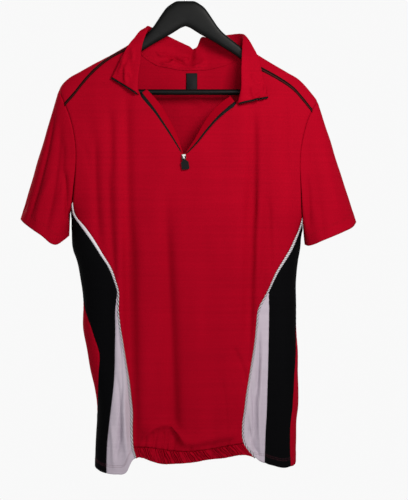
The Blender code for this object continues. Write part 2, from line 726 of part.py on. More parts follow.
def build_front(red):
    """Front panel."""
    angle, fall = front_domain(front_grid())
    normals = cloth_normals(angle, fall)
    grid = pull_in(cloth(angle, fall), normals, SEAM_GAP / 2)
    add_wall("front_panel", grid, normals, red)


def build_back(red):
    """Back panel, which comes forward over the shoulders."""
    domain = back_grid()
    angle = 180.0 - domain[..., 0]
    normals = cloth_normals(angle, domain[..., 1])
    grid = pull_in(cloth(angle, domain[..., 1]), normals, SEAM_GAP / 2)
    add_wall("back_panel", grid, normals, red)


def build_side(side, black):
    """Black side panel."""
    domain = side_grid(side)
    normals = cloth_normals(domain[..., 0], domain[..., 1])
    grid = pull_in(cloth(domain[..., 0], domain[..., 1]), normals, SEAM_GAP / 2)
    add_wall("side_panel_" + side, grid, normals, black)


def wedge_places(side):
    """Places down the seam between white wedge and side panel."""
    drops = seam_drops(side)[PIPING_ROWS:]
    drops = PIPING_TIP + (drops - PIPING_TIP) * (
        (WEDGE_HEM[side] - PIPING_TIP) / (drops[-1] - PIPING_TIP))
    return np.stack([between(WEDGE_SEAM, side + "_x", drops), drops], axis=1)


def build_wedge(side, white):
    """White wedge between the piping and the side panel."""
    inner = piping_seam(side)[PIPING_ROWS:]
    outer = wedge_places(side)
    share = np.linspace(0, 1, WEDGE_STEPS + 1)[:, None]
    top = inner[0] + (outer[0] - inner[0]) * share
    bottom = inner[-1] + (outer[-1] - inner[-1]) * share
    bottom[1:-1, 1] = between(HEM, "drop", bottom[1:-1, 0], key="x")
    angle, fall = front_domain(patch(top, bottom, inner, outer))
    normals = cloth_normals(angle, fall)
    grid = pull_in(cloth(angle, fall), normals, SEAM_GAP / 2)
    add_wall("side_insert_" + side, grid, normals, white)


def build_piping(side, white):
    """Piping along the whole front seam, standing a little proud of the panels."""
    inner = front_seam(side)
    outer = piping_seam(side)
    places = np.stack([inner, (inner + outer) / 2, outer], axis=1)
    angle, fall = front_domain(places)
    normals = cloth_normals(angle, fall)
    grid = pull_in(cloth(angle, fall), normals, SEAM_GAP / 2)
    grid[:, 1] += normals[:, 1] * PIPING_CROWN
    add_wall("piping_" + side, grid, normals, white, thick=PIPING_WALL)


def build_band(red):
    """Gathered elastic band under the front."""
    ends = {side: front_seam(side)[-2:] for side in ("right", "left")}
    steps = GATHERS * GATHER_STEPS
    top_x = np.linspace(ends["right"][0, 0], ends["left"][0, 0], steps + 1)
    low_x = np.linspace(ends["right"][1, 0] + BAND_END_GAP, ends["left"][1, 0] - BAND_END_GAP,
                        steps + 1)
    top = np.stack([top_x, between(BAND_LINE, "drop", top_x, key="x")], axis=1)
    low = np.stack([low_x, between(HEM, "drop", low_x, key="x")], axis=1)
    share = np.linspace(0, 1, BAND_ROWS + 1)[:, None, None]
    angle, fall = front_domain(top + (low - top) * share)
    normals = cloth_normals(angle, fall)
    grid = pull_in(cloth(angle, fall), normals, SEAM_GAP / 2)
    turn = np.linspace(0, GATHERS, steps + 1)
    ends_fade = ease(np.minimum(turn, GATHERS - turn) / GATHER_FADE)
    wave = GATHER_DEPTH * ends_fade * np.sin(2 * math.pi * turn)
    grid = grid + normals * wave[None, :, None]
    add_wall("hem_band", grid, normals, red)


def build_shoulder_tape(side, brown):
    """Dark tape laid over the shoulder seam."""
    seam = back_domain(shoulder_seam(side), -1.0)
    angle = 180.0 - seam[:, 0]
    step = 0.01
    stretch = (cloth(angle, seam[:, 1] + step) - cloth(angle, seam[:, 1] - step)) / (2 * step)
    per_mm = 1.0 / np.linalg.norm(stretch, axis=-1)
    across = np.array((-0.5, 0.0, 0.5)) * TAPE_WIDTH
    falls = seam[:, 1][:, None] + across[None, :] * per_mm[:, None]
    angles = np.repeat(angle[:, None], len(across), axis=1)
    normals = cloth_normals(angles, falls)
    grid = pull_in(cloth(angles, falls), normals, TAPE_END_GAP, "tb")
    lift = WALL / 2 + TRIM_WALL / 2 + LAID_GAP
    add_wall("shoulder_tape_" + side, grid, normals, brown, TRIM_WALL, lift)


def arm_loop(side):
    """Stations round an armhole: part, half (-1 front, 1 back), angle and fall."""
    ahead = FRONT_PARTS + SIDE_FRONT_PARTS
    behind = SIDE_BACK_PARTS[1:] + BACK_PARTS[-2::-1]
    forward = FORWARD_PARTS[-2:0:-1]
    parts = np.array(ahead + behind + forward)
    halves = np.array([-1.0] * len(ahead) + [1.0] * len(behind) + [-1.0] * len(forward))
    places = np.stack([between(ARMHOLE, side + "_x", parts, "part"),
                       between(ARMHOLE, side + "_drop", parts, "part")], axis=1)
    angle, fall = front_domain(places)
    angle = np.where(halves > 0, 180.0 - angle, angle)
    return parts, halves, angle, fall


def build_sleeve(side, red):
    """Short sleeve, a tube from the armhole to the open cuff."""
    parts, halves, angle, fall = arm_loop(side)
    start = cloth(angle, fall)
    start_normals = cloth_normals(angle, fall)
    tuck = (WALL + SEAM_GAP) * ease((parts - TUCK_PARTS[0]) / (TUCK_PARTS[1] - TUCK_PARTS[0]))
    start[:, 0] += OUTWARD[side] * tuck
    drops = np.where(halves < 0, between(CUFF, side + "_drop", parts, "part"),
                     between(CUFF, side + "_back", parts, "part"))
    depth = np.where(halves < 0, -CUFF_FRONT_DEPTH, CUFF_BACK_DEPTH)
    end = np.stack([between(CUFF, side + "_x", parts, "part"),
                    depth * np.sin(math.pi * parts) ** CUFF_ROUND,
                    -(HOOK_TO_HANGER + drops)], axis=1)
    v = np.linspace(0, 1, SLEEVE_ROWS + 1)[:, None, None]
    grid = start + (end - start) * v
    grid[..., 1] *= 1 + SLEEVE_PUFF * np.sin(math.pi * v[..., 0])
    normals = grid_normals(grid, closed=True)
    normals *= np.sign(np.sum(normals[0] * start_normals))
    normals[0] = start_normals
    along = np.roll(grid[0], -1, axis=0) - np.roll(grid[0], 1, axis=0)
    grid[0] += SEAM_GAP / 2 * inward(along, normals[0], grid[1] - grid[0])
    add_wall("sleeve_" + side, grid, normals, red, closed=True)


def neck_seam():
    """Points along the whole neck seam, from the right end of the zip to the left."""
    right = np.stack(front_domain(seam_run(FRONT_NECK, "right", NECK_STEPS)[::-1]), axis=1)
    left = np.stack(front_domain(seam_run(FRONT_NECK, "left", NECK_STEPS)), axis=1)
    around = back_neck()
    around[:, 0] = 180.0 - around[:, 0]
    return np.concatenate([cloth(right[:, 0], right[:, 1])[:-1],
                           cloth(around[:, 0], around[:, 1]),
                           cloth(left[:, 0], left[:, 1])[1:]])


def halved(points):
    """The same line with a point added half way along each step."""
    middle = (points[:-1] + points[1:]) / 2
    doubled = np.empty((len(points) + len(middle), 3))
    doubled[0::2] = points
    doubled[1::2] = middle
    return doubled


def collar_grid():
    """Points of the collar: from its seam, over its fold, to its top edge."""
    seam = halved(neck_seam())
    station = np.arange(len(seam)) / 2
    fold = np.stack([between(COLLAR, "fold_x", station, "station"),
                     between(COLLAR, "fold_y", station, "station"),
                     -(HOOK_TO_HANGER + between(COLLAR, "fold_drop", station, "station"))], axis=1)
    edge = np.stack([between(COLLAR, "edge_x", station, "station"),
                     between(COLLAR, "edge_y", station, "station"),
                     -(HOOK_TO_HANGER + between(COLLAR, "edge_drop", station, "station"))], axis=1)
    rise = (fold - seam) / np.linalg.norm(fold - seam, axis=1, keepdims=True)
    base = seam + rise * COLLAR_GAP
    lower = base + COLLAR_RISE * (fold - base)
    upper = edge + COLLAR_FALL * (fold - edge)
    t = np.linspace(0, 1, COLLAR_ROWS + 1)[:, None, None]
    return ((1 - t) ** 3 * base + 3 * t * (1 - t) ** 2 * lower
            + 3 * t ** 2 * (1 - t) * upper + t ** 3 * edge)


def build_collar(red):
    """Stand collar whose front ends fold outwards."""
    grid = collar_grid()
    add_wall("collar", grid, grid_normals(grid), red)


def build_tape_end(side, black):
    """The zip tape's top end, along the front end of the folded collar."""
    grid = collar_grid()
    if side == "left":
        grid = grid[:, ::-1]
    end = grid[:, 0]
    away = end - grid[:, 1]
    away /= np.linalg.norm(away, axis=1, keepdims=True)
    normals = grid_normals(grid)[:, 0]
    rows = slice(TAPE_END_SKIP, None)
    near = end + away * SEAM_GAP
    far = end + away * (SEAM_GAP + TAPE_END_WIDTH)
    strip = np.stack([near, far], axis=1)[rows]
    directions = np.stack([normals, normals], axis=1)[rows]
    add_wall("zip_tape_end_" + side, strip, directions, black, TRIM_WALL)


def zip_lines(side):
    """Places along the front's zip edge, the tape's inner edge and the facing's inner edge."""
    edge = seam_run(ZIP, side, ZIP_STEPS)
    at = np.linspace(0, 1, ZIP_STEPS + 1)
    rows = {"row": np.linspace(0, 1, len(ZIP["tape"])), **ZIP}
    along = np.gradient(edge, axis=0)
    along /= np.linalg.norm(along, axis=1, keepdims=True)
    inner = np.stack([along[:, 1], -along[:, 0]], axis=1) * -OUTWARD[side]
    tape = between(rows, "tape", at, "row")[:, None]
    facing = between(rows, side + "_facing", at, "row")[:, None]
    return edge, edge + inner * tape, edge + inner * (tape + facing)


def zip_points(places):
    """Points on the front's surface, carried on across the opening."""
    angle, fall = front_domain(places)
    return cloth(angle, fall), cloth_normals(angle, fall)


def build_zip_tape(side, black):
    """Zip tape along one edge of the opening."""
    edge, tape, _ = zip_lines(side)
    points, normals = zip_points(np.stack([edge, tape], axis=1))
    add_wall("zip_tape_" + side, pull_in(points, normals, SEAM_GAP / 2), normals, black, TRIM_WALL)


def build_facing(side, red):
    """Facing that turns back inside the opening."""
    _, tape, facing = zip_lines(side)
    share = np.linspace(0, 1, 4)[None, :, None]
    places = tape[:, None] + (facing - tape)[:, None] * share
    points, normals = zip_points(places)
    reach = np.linalg.norm(facing - tape, axis=1)[:, None]
    points[..., 1] += FACING_TURN * reach * share[..., 0]
    normals = grid_normals(points)
    normals *= -np.sign(normals[..., 1:2])
    grid = pull_in(points, normals, SEAM_GAP / 2, "rtb")
    add_wall("zip_facing_" + side, grid, normals, red, TRIM_WALL)


def build_label(black):
    """Plain label sewn under the back neck seam."""
    xs = np.linspace(LABEL_X, LABEL_X + LABEL_SIZE[0], 3)
    drops = np.linspace(LABEL_DROP, LABEL_DROP + LABEL_SIZE[1], 4)
    places = np.stack(np.meshgrid(xs, drops), axis=-1)
    domain = back_domain(places)
    angle = 180.0 - domain[..., 0]
    normals = cloth_normals(angle, domain[..., 1])
    lift = -(WALL / 2 + TRIM_WALL / 2 + LAID_GAP)
    add_wall("neck_label", cloth(angle, domain[..., 1]), normals, black, TRIM_WALL, lift)


def add_box(bm, low, high):
    """Box between two corners."""
    centre = [(a + b) / 2 for a, b in zip(low, high)]
    made = bmesh.ops.create_cube(bm, size=1.0)
    bmesh.ops.scale(bm, verts=made["verts"], vec=[b - a for a, b in zip(low, high)])
    bmesh.ops.translate(bm, verts=made["verts"], vec=centre)
    return made["verts"]


def joined(target, other, operation):
    """Boolean one object with another that stays as a hidden guide."""
    change = target.modifiers.new(operation.lower(), "BOOLEAN")
    change.operation = operation
    change.object = other
    other.hide_render = True
    other.display_type = "WIRE"


def slider_face():
    """Depth of the slider's front face."""
    place = np.array(SLIDER_PLACE)
    surface = zip_points(place)[0][1]
    return surface - WALL / 2 - LAID_GAP - SLIDER_SIZE[2]


def build_slider(steel):
    """Zip slider: a body with a bridge that holds the pull tab."""
    x, drop = SLIDER_PLACE
    z = -(HOOK_TO_HANGER + drop)
    face = slider_face()
    bm = bmesh.new()
    verts = add_box(bm, (x - SLIDER_SIZE[0] / 2, face, z - SLIDER_SIZE[1] / 2),
                    (x + SLIDER_SIZE[0] / 2, face + SLIDER_SIZE[2], z + SLIDER_SIZE[1] / 2))
    edges = {edge for vert in verts for edge in vert.link_edges}
    bmesh.ops.bevel(bm, geom=list(edges), offset=SLIDER_ROUND, segments=2, affect="EDGES",
                     profile=0.5)
    body = add_object("zip_slider", bm, steel, (x, face, z))
    arch = bmesh.new()
    under = BRIDGE_REACH - BRIDGE_WIRE
    outline = [(BRIDGE_SINK, -BRIDGE_REACH), (-BRIDGE_RISE, -BRIDGE_REACH),
               (-BRIDGE_RISE, BRIDGE_REACH), (BRIDGE_SINK, BRIDGE_REACH), (BRIDGE_SINK, under),
               (BRIDGE_WIRE - BRIDGE_RISE, under), (BRIDGE_WIRE - BRIDGE_RISE, -under),
               (BRIDGE_SINK, -under)]
    verts = [arch.verts.new((x - BRIDGE_WIDTH / 2, face + y, z + up)) for y, up in outline]
    side = arch.faces.new(verts)
    grown = bmesh.ops.extrude_face_region(arch, geom=[side])
    moved = [item for item in grown["geom"] if isinstance(item, bmesh.types.BMVert)]
    bmesh.ops.translate(arch, verts=moved, vec=(BRIDGE_WIDTH, 0, 0))
    joined(body, add_object("bridge_guide", arch, steel, (x, face, z)), "UNION")


def build_pull(black):
    """Pull tab: a bar under the slider's bridge, two arms and a flat tab."""
    x, drop = SLIDER_PLACE
    axis = (x, slider_face() - PULL_AXIS_OUT, -(HOOK_TO_HANGER + drop))
    lean = math.radians(PULL_LEAN)
    tab = [(-px, up) for px, up in PULL_TAB] + list(PULL_TAB[::-1])
    leant = [(px * math.cos(lean) - up * math.sin(lean), px * math.sin(lean) + up * math.cos(lean))
             for px, up in tab]
    outline = [(-px, up) for px, up in PULL_STEM] + leant + list(PULL_STEM[::-1])
    bm = bmesh.new()
    verts = [bm.verts.new((axis[0] + px, axis[1] - PULL_THICK / 2, axis[2] + pz))
             for px, pz in outline]
    face = bm.faces.new(verts)
    grown = bmesh.ops.extrude_face_region(bm, geom=[face])
    moved = [item for item in grown["geom"] if isinstance(item, bmesh.types.BMVert)]
    bmesh.ops.translate(bm, verts=moved, vec=(0, PULL_THICK, 0))
    tab_object = add_object("zip_pull", bm, black, axis)
    cutter = bmesh.new()
    high, low = PULL_WINDOW
    add_box(cutter, (axis[0] - low[0], axis[1] - low[1], axis[2] + low[2]),
            (axis[0] + high[0], axis[1] + high[1], axis[2] + high[2]))
    joined(tab_object, add_object("window_cutter", cutter, black, axis), "DIFFERENCE")


def build_hanger(black):
    """The hanger's shoulders: a flat bar with rounded edges that droops both ways."""
    outs = np.array(HANGER["out"])
    xs = np.concatenate([-outs[:0:-1], outs])
    top = between(HANGER, "top", np.abs(xs), "out")
    bottom = between(HANGER, "bottom", np.abs(xs), "out")
    start, end = HANGER_TAPER_RUN
    half = HANGER_THICK / 2 * (1 - HANGER_TAPER * ease((np.abs(xs) - start) / (end - start)))
    bm = bmesh.new()
    loops = []
    for x, high, low, thick in zip(xs, top, bottom, half):
        cut = min(HANGER_ROUND, (low - high) / 3)
        half_section = [(0.25 * thick, high), (0.75 * thick, high + 0.4 * cut),
                        (thick, high + cut), (thick, low - 0.5 * cut), (0.6 * thick, low)]
        section = half_section + [(-y, drop) for y, drop in half_section[::-1]]
        loops.append([bm.verts.new((x, y, -(HOOK_TO_HANGER + drop))) for y, drop in section])
    for first, second in zip(loops, loops[1:]):
        for k in range(len(first)):
            n = (k + 1) % len(first)
            bm.faces.new((first[k], first[n], second[n], second[k]))
    bm.faces.new(loops[0])
    bm.faces.new(loops[-1])
    add_object("hanger", bm, black)


def bar_reach(drop):
    """How far out the bar can go at a drop, up to the arm's underside."""
    outs = np.linspace(HANGER["out"][-7], HANGER["out"][-2], 200)
    return float(np.interp(drop, between(HANGER, "bottom", outs, "out"), outs)) - BAR_END_GAP


def build_bar(black):
    """Trouser bar between the undersides of the arms."""
    bm = bmesh.new()
    loops = []
    radius = BAR_DIAMETER / 2
    turns = [2 * math.pi * (k + 0.5) / BAR_SIDES for k in range(BAR_SIDES)]
    for sign in (-1, 1):
        loop = []
        for turn in turns:
            drop = BAR_DROP + radius * math.cos(turn)
            loop.append(bm.verts.new((sign * bar_reach(drop), radius * math.sin(turn),
                                      -(HOOK_TO_HANGER + drop))))
        loops.append(loop)
    for k in range(BAR_SIDES):
        n = (k + 1) % BAR_SIDES
        bm.faces.new((loops[0][k], loops[0][n], loops[1][n], loops[1][k]))
    bm.faces.new(loops[0])
    bm.faces.new(loops[1])
    add_object("hanger_bar", bm, black)


def build_hook(steel):
    """Wire hook, round about the origin, on a short shank."""
    turns = np.radians(np.linspace(*HOOK_ARC, HOOK_ARC_STEPS + 1))
    arc = [(HOOK_RADIUS * math.cos(turn), HOOK_RADIUS * math.sin(turn)) for turn in turns]
    route = [(0.0, HOOK_SEAT - HOOK_TO_HANGER), *HOOK_SHANK, *arc]
    curve = bpy.data.curves.new("hook_wire", "CURVE")
    curve.dimensions = "3D"
    curve.bevel_depth = HOOK_WIRE / 2 * MM
    curve.bevel_resolution = 2
    curve.use_fill_caps = True
    line = curve.splines.new("POLY")
    line.points.add(len(route) - 1)
    for point, (x, z) in zip(line.points, route):
        point.co = (x * MM, 0.0, z * MM, 1.0)
    curve.materials.append(steel)
    hook = bpy.data.objects.new("hanger_hook", curve)
    bpy.context.collection.objects.link(hook)


for old in list(bpy.data.objects):
    bpy.data.objects.remove(old)

red_knit = material("red_knit", RED, 0.75)
inner_knit = material("red_facing", DEEP_RED, 0.75)
black_knit = material("black_knit", BLACK, 0.8)
white_knit = material("white_knit", WHITE, 0.7)
brown_tape = material("brown_tape", TAPE_BROWN, 0.7)
black_tape = material("black_tape", BLACK, 0.6)
black_satin = material("hanger_black", HANGER_BLACK, 0.45)
bright_steel = material("bright_steel", STEEL, 0.3, 1.0)

build_front(red_knit)
build_band(red_knit)
build_back(red_knit)
build_collar(red_knit)
build_label(black_tape)
for wearer_side in ("right", "left"):
    build_side(wearer_side, black_knit)
    build_wedge(wearer_side, white_knit)
    build_piping(wearer_side, white_knit)
    build_shoulder_tape(wearer_side, brown_tape)
    build_sleeve(wearer_side, red_knit)
    build_zip_tape(wearer_side, black_tape)
    build_tape_end(wearer_side, black_tape)
    build_facing(wearer_side, inner_knit)
build_slider(bright_steel)
build_pull(black_tape)
build_hanger(black_satin)
build_bar(black_satin)
build_hook(bright_steel)
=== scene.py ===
"""Cycling jersey on a hanger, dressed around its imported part.

The garment is built as it is sewn: hanger, body panels, collar, sleeves, trims and zip. Each panel is
a grid laid on the same rings and sections as its solid, given in mm, and finer creases are added to it.
Right and left are the wearer's. Places on the garment are x and drop, the mm below the hanger's top.
"""
import math

import bmesh
import bpy
import numpy as np
from mathutils import Matrix, Vector, noise


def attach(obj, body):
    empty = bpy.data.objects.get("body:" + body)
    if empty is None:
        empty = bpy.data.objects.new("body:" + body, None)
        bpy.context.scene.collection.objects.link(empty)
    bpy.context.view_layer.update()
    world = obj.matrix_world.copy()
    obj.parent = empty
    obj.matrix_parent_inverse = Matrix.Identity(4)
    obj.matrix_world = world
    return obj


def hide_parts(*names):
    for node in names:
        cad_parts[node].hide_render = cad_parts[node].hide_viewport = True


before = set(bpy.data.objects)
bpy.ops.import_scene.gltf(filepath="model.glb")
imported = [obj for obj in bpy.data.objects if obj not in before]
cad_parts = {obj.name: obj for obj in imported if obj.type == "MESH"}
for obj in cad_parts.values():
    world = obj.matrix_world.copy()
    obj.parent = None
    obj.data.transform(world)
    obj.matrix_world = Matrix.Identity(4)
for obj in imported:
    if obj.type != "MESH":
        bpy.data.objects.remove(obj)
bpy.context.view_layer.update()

# Camera, light and floor
# The jersey hangs before a white ground that is bright behind it and dim on the camera's side, so that
# the folds keep their shade. The camera stands square to the front, far back, so that the outline
# keeps its measured width at every depth.
MM = 0.001
PICTURE_HEIGHT = 0.850
PICTURE_CENTRE = (0.0315, -0.4833)
CAMERA_BACK = 4.2
LIGHT_AIM = (0.02, 0.0, -0.45)
GROUND_TURN = (-0.1, 0.6)  # directions, from in front to behind, between which the ground brightens
GROUND_LIGHT = (0.28, 0.96)
FLOOR_HEIGHT = -1.65
FLOOR_SIZE = 6.0

scene = bpy.context.scene
scene.view_settings.view_transform = "Standard"
camera_data = bpy.data.cameras.new("camera")
camera_data.lens = camera_data.sensor_width * CAMERA_BACK / PICTURE_HEIGHT
camera = bpy.data.objects.new("camera", camera_data)
camera.location = (PICTURE_CENTRE[0], -CAMERA_BACK, PICTURE_CENTRE[1])
camera.rotation_euler = (math.pi / 2, 0, 0)
scene.collection.objects.link(camera)
scene.camera = camera


def linear(colour, alpha=1.0):
    """An sRGB hex colour as linear values."""
    parts = [int(colour[k:k + 2], 16) / 255 for k in (1, 3, 5)]
    return (*[c / 12.92 if c <= 0.04045 else ((c + 0.055) / 1.055) ** 2.4 for c in parts], alpha)


def add_node(tree, kind, settings=None, inputs=None):
    """Add a node with its settings; an input that is another node's socket is linked."""
    node = tree.nodes.new(kind)
    for key, value in (settings or {}).items():
        setattr(node, key, value)
    for key, value in (inputs or {}).items():
        if isinstance(value, bpy.types.NodeSocket):
            tree.links.new(value, node.inputs[key])
        else:
            node.inputs[key].default_value = value
    return node


def add_light(name, place, size, power, colour):
    """Soft square lamp that looks at the middle of the jersey."""
    data = bpy.data.lights.new(name, "AREA")
    data.size = size
    data.energy = power
    data.color = linear(colour)[:3]
    lamp = bpy.data.objects.new(name, data)
    lamp.location = place
    aim = Vector(LIGHT_AIM) - lamp.location
    lamp.rotation_euler = aim.to_track_quat("-Z", "Y").to_euler()
    scene.collection.objects.link(lamp)


add_light("key_lamp", (0.40, -0.84, 0.10), 0.35, 9.6, "#FFFBF6")
add_light("fill_lamp", (0.0, -2.6, -0.2), 0.5, 9, "#F7F9FF")
add_light("back_lamp", (-0.95, 1.0, 0.3), 0.4, 14, "#FFFFFF")

world = bpy.data.worlds.new("studio")
scene.world = world
world.use_nodes = True
sky = world.node_tree
toward = add_node(sky, "ShaderNodeSeparateXYZ", inputs={
    "Vector": add_node(sky, "ShaderNodeTexCoord").outputs["Generated"]})
ground = add_node(sky, "ShaderNodeMapRange", inputs={
    "Value": toward.outputs["Y"], "From Min": GROUND_TURN[0], "From Max": GROUND_TURN[1],
    "To Min": GROUND_LIGHT[0], "To Max": GROUND_LIGHT[1]})
sky.nodes["Background"].inputs["Color"].default_value = linear("#FDFDFD")
sky.links.new(ground.outputs["Result"], sky.nodes["Background"].inputs["Strength"])

floor_mesh = bmesh.new()
bmesh.ops.create_grid(floor_mesh, x_segments=1, y_segments=1, size=FLOOR_SIZE)
bmesh.ops.translate(floor_mesh, verts=floor_mesh.verts, vec=(0, 0, FLOOR_HEIGHT))
floor_data = bpy.data.meshes.new("floor")
floor_mesh.to_mesh(floor_data)
floor_mesh.free()
floor = bpy.data.objects.new("floor", floor_data)
scene.collection.objects.link(floor)
# Matt white paper: no highlight, only the shade that falls on it.
paper = bpy.data.materials.new("matt_paper_floor")
paper.use_nodes = True
paper.node_tree.nodes["Principled BSDF"].inputs["Base Color"].default_value = linear("#EFEFEF")
paper.node_tree.nodes["Principled BSDF"].inputs["Roughness"].default_value = 0.9
floor_data.materials.append(paper)


# Hanger
# A flat shouldered hanger of beech under black satin lacquer, its edges rounded on a spindle, with a
# turned bar between the arms for trousers. A polished steel wire hook is screwed into its top.
HOOK_TO_HANGER = 60.0
HANGER_THICK = 12.0
HANGER_STEP = 3.0          # spacing of the sections along the arms
HANGER_SIDES = 28
HANGER_TIP = 5.0           # length over which an arm's end rounds off
HANGER_TAPER = 0.35
HANGER_TAPER_RUN = (170.0, 201.0)
HANGER_SQUARE = (0.55, 0.62)  # powers under 1 that square the rounded section, in depth and height
HANGER_BLUNT = 0.97           # share of the tip's rounding at which the arm ends
BAR_DROP = 155.0
BAR_RADIUS = 5.0
BAR_REACH = 184.0
BAR_SIDES = 32
HOOK_RADIUS = 19.0
HOOK_WIRE = 3.6
HOOK_ARC = (-62.0, 205.0)
HOOK_STEPS = 61
HOOK_SHANK = ((0.0, -64.0), (0.0, -40.0), (0.2, -34.0), (1.6, -28.5), (3.6, -23.6), (6.0, -19.8))


def table(columns, rows):
    """Rows of numbers as one array for each named column."""
    values = np.array(rows, dtype=float)
    return {name: values[:, index] for index, name in enumerate(columns.split())}


def between(source, column, at, key="drop"):
    """Smooth curve through one column of a table."""
    xs, ys = source[key], source[column]
    steps = np.diff(xs)
    rises = np.diff(ys) / steps
    slopes = np.zeros(len(xs))
    slopes[1:-1] = (rises[:-1] * steps[1:] + rises[1:] * steps[:-1]) / (steps[1:] + steps[:-1])
    slopes[0], slopes[-1] = rises[0], rises[-1]
    inside = np.clip(np.asarray(at, dtype=float), xs[0], xs[-1])
    place = np.clip(np.searchsorted(xs, inside) - 1, 0, len(xs) - 2)
    width = steps[place]
    t = (inside - xs[place]) / width
    return (ys[place] * (1 + 2 * t) * (1 - t) ** 2 + slopes[place] * width * t * (1 - t) ** 2
            + ys[place + 1] * t ** 2 * (3 - 2 * t) + slopes[place + 1] * width * t ** 2 * (t - 1))


def side_by_side(source, names, at, key):
    """Several columns of a table at the same places."""
    return np.stack([between(source, name, at, key) for name in names.split()], axis=-1)


def ease(t):
    """Smooth step from 0 to 1."""
    t = np.clip(t, 0.0, 1.0)
    return t * t * (3.0 - 2.0 * t)


def lay_grid(name, points, flat, surface, closed=False, capped=False):
    """Object made of a grid laid on rows and columns of points in mm. Its UV map, in metres of flat
    cloth, carries the weave. A closed grid is a tube, whose last column meets its first."""
    rows, columns = points.shape[:2]
    bm = bmesh.new()
    bm.loops.layers.uv.new("cloth")
    made = bmesh.ops.create_grid(bm, x_segments=columns - 1, y_segments=rows - 1, size=0.5,
                                 calc_uvs=True)
    low = min(vert.co.x for vert in made["verts"])
    span = max(vert.co.x for vert in made["verts"]) - low
    for vert in made["verts"]:
        column = round((vert.co.x - low) / span * (columns - 1))
        row = round((1 - (vert.co.y - low) / span) * (rows - 1))
        vert.co = points[row, column] * MM
    layer = bm.loops.layers.uv.active
    for face in bm.faces:
        for loop in face.loops:
            u, v = loop[layer].uv
            loop[layer].uv = (u * flat[0], (1 - v) * flat[1])
    if closed:
        bmesh.ops.remove_doubles(bm, verts=bm.verts, dist=1e-6)
    if capped:
        bmesh.ops.holes_fill(bm, edges=[edge for edge in bm.edges if edge.is_boundary])
        bmesh.ops.recalc_face_normals(bm, faces=bm.faces)
    return to_object(name, bm, surface)


def to_object(name, bm, surface):
    """Object at the origin from a bmesh in metres."""
    mesh = bpy.data.meshes.new(name)
    bm.to_mesh(mesh)
    bm.free()
    mesh.materials.append(surface)
    mesh.shade_smooth()
    made = bpy.data.objects.new(name, mesh)
    scene.collection.objects.link(made)
    return made


def place_piece(piece, slot, *nodes, body="jersey"):
    """The piece rides on its body and stands for its solids; its slot is not used."""
    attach(piece, body)
    if nodes:
        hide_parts(*nodes)
    return piece


def new_surface(name, roughness, metallic=0.0, **sockets):
    """Material with its shader's plain numbers set on its own sockets."""
    made = bpy.data.materials.new(name)
    made.use_nodes = True
    shader = made.node_tree.nodes["Principled BSDF"]
    shader.inputs["Roughness"].default_value = roughness
    shader.inputs["Metallic"].default_value = metallic
    for key, value in sockets.items():
        shader.inputs[key.replace("_", " ")].default_value = value
    return made, made.node_tree, shader


# Black satin lacquer over beech, rubbed between coats: soft highlights, faint long grain under them.
lacquer, tree, shader = new_surface("satin_black_lacquer", 0.42, Specular_IOR_Level=0.11)
place = add_node(tree, "ShaderNodeTexCoord").outputs["Object"]
stretched = add_node(tree, "ShaderNodeMapping", inputs={"Vector": place, "Scale": (14, 90, 120)})
grain = add_node(tree, "ShaderNodeTexNoise", inputs={
    "Vector": stretched.outputs["Vector"], "Scale": 3.0, "Detail": 5.0})
cloudy = add_node(tree, "ShaderNodeTexNoise", inputs={"Vector": place, "Scale": 28.0})
tint = add_node(tree, "ShaderNodeMix", {"data_type": "RGBA"}, {
    "Factor": cloudy.outputs["Fac"], "A": linear("#060707"), "B": linear("#0B0C0B")})
tree.links.new(tint.outputs["Result"], shader.inputs["Base Color"])
rub = add_node(tree, "ShaderNodeMapRange", inputs={
    "Value": grain.outputs["Fac"], "To Min": 0.36, "To Max": 0.50})
tree.links.new(rub.outputs["Result"], shader.inputs["Roughness"])
relief = add_node(tree, "ShaderNodeBump", inputs={
    "Strength": 0.25, "Distance": 0.0003, "Height": grain.outputs["Fac"]})
tree.links.new(relief.outputs["Normal"], shader.inputs["Normal"])

HANGER = table("out top bottom", (
    (0, 0, 43), (8, 0, 46), (16, 0.6, 51), (24, 5, 56), (33, 12, 61), (40, 21.5, 65), (47, 32, 69),
    (54, 42.5, 73), (62, 51.9, 78), (75, 63.0, 86), (91, 75.4, 97), (103, 85.0, 107),
    (124, 98.0, 121), (147, 112.2, 135), (173, 127.6, 150), (187, 137.5, 159),
    (195, 145.5, 164), (199, 153, 163),
))
reach = HANGER["out"][-1]
xs = np.linspace(-reach, reach, int(2 * reach / HANGER_STEP) + 1)
top = between(HANGER, "top", np.abs(xs), "out")
bottom = between(HANGER, "bottom", np.abs(xs), "out")
taper = ease((np.abs(xs) - HANGER_TAPER_RUN[0]) / (HANGER_TAPER_RUN[1] - HANGER_TAPER_RUN[0]))
into_tip = ((np.abs(xs) - reach + HANGER_TIP) / HANGER_TIP).clip(0, HANGER_BLUNT)
tip = np.sqrt(np.clip(1 - into_tip ** 2, 0, 1))
half_thick = HANGER_THICK / 2 * (1 - HANGER_TAPER * taper) * tip
half_height = (bottom - top) / 2 * tip
turn = np.linspace(0, 2 * math.pi, HANGER_SIDES + 1)
round_y = np.sign(np.cos(turn)) * np.abs(np.cos(turn)) ** HANGER_SQUARE[0]
round_z = np.sign(np.sin(turn)) * np.abs(np.sin(turn)) ** HANGER_SQUARE[1]
arm_points = np.stack([
    np.repeat(xs[:, None], HANGER_SIDES + 1, axis=1),
    half_thick[:, None] * round_y[None],
    -(HOOK_TO_HANGER + (top + bottom)[:, None] / 2) + half_height[:, None] * round_z[None],
], axis=-1)
hanger = lay_grid("hanger_arms", arm_points, (0.1, 0.45), lacquer, closed=True, capped=True)
place_piece(hanger, "hanger_black", "hanger")

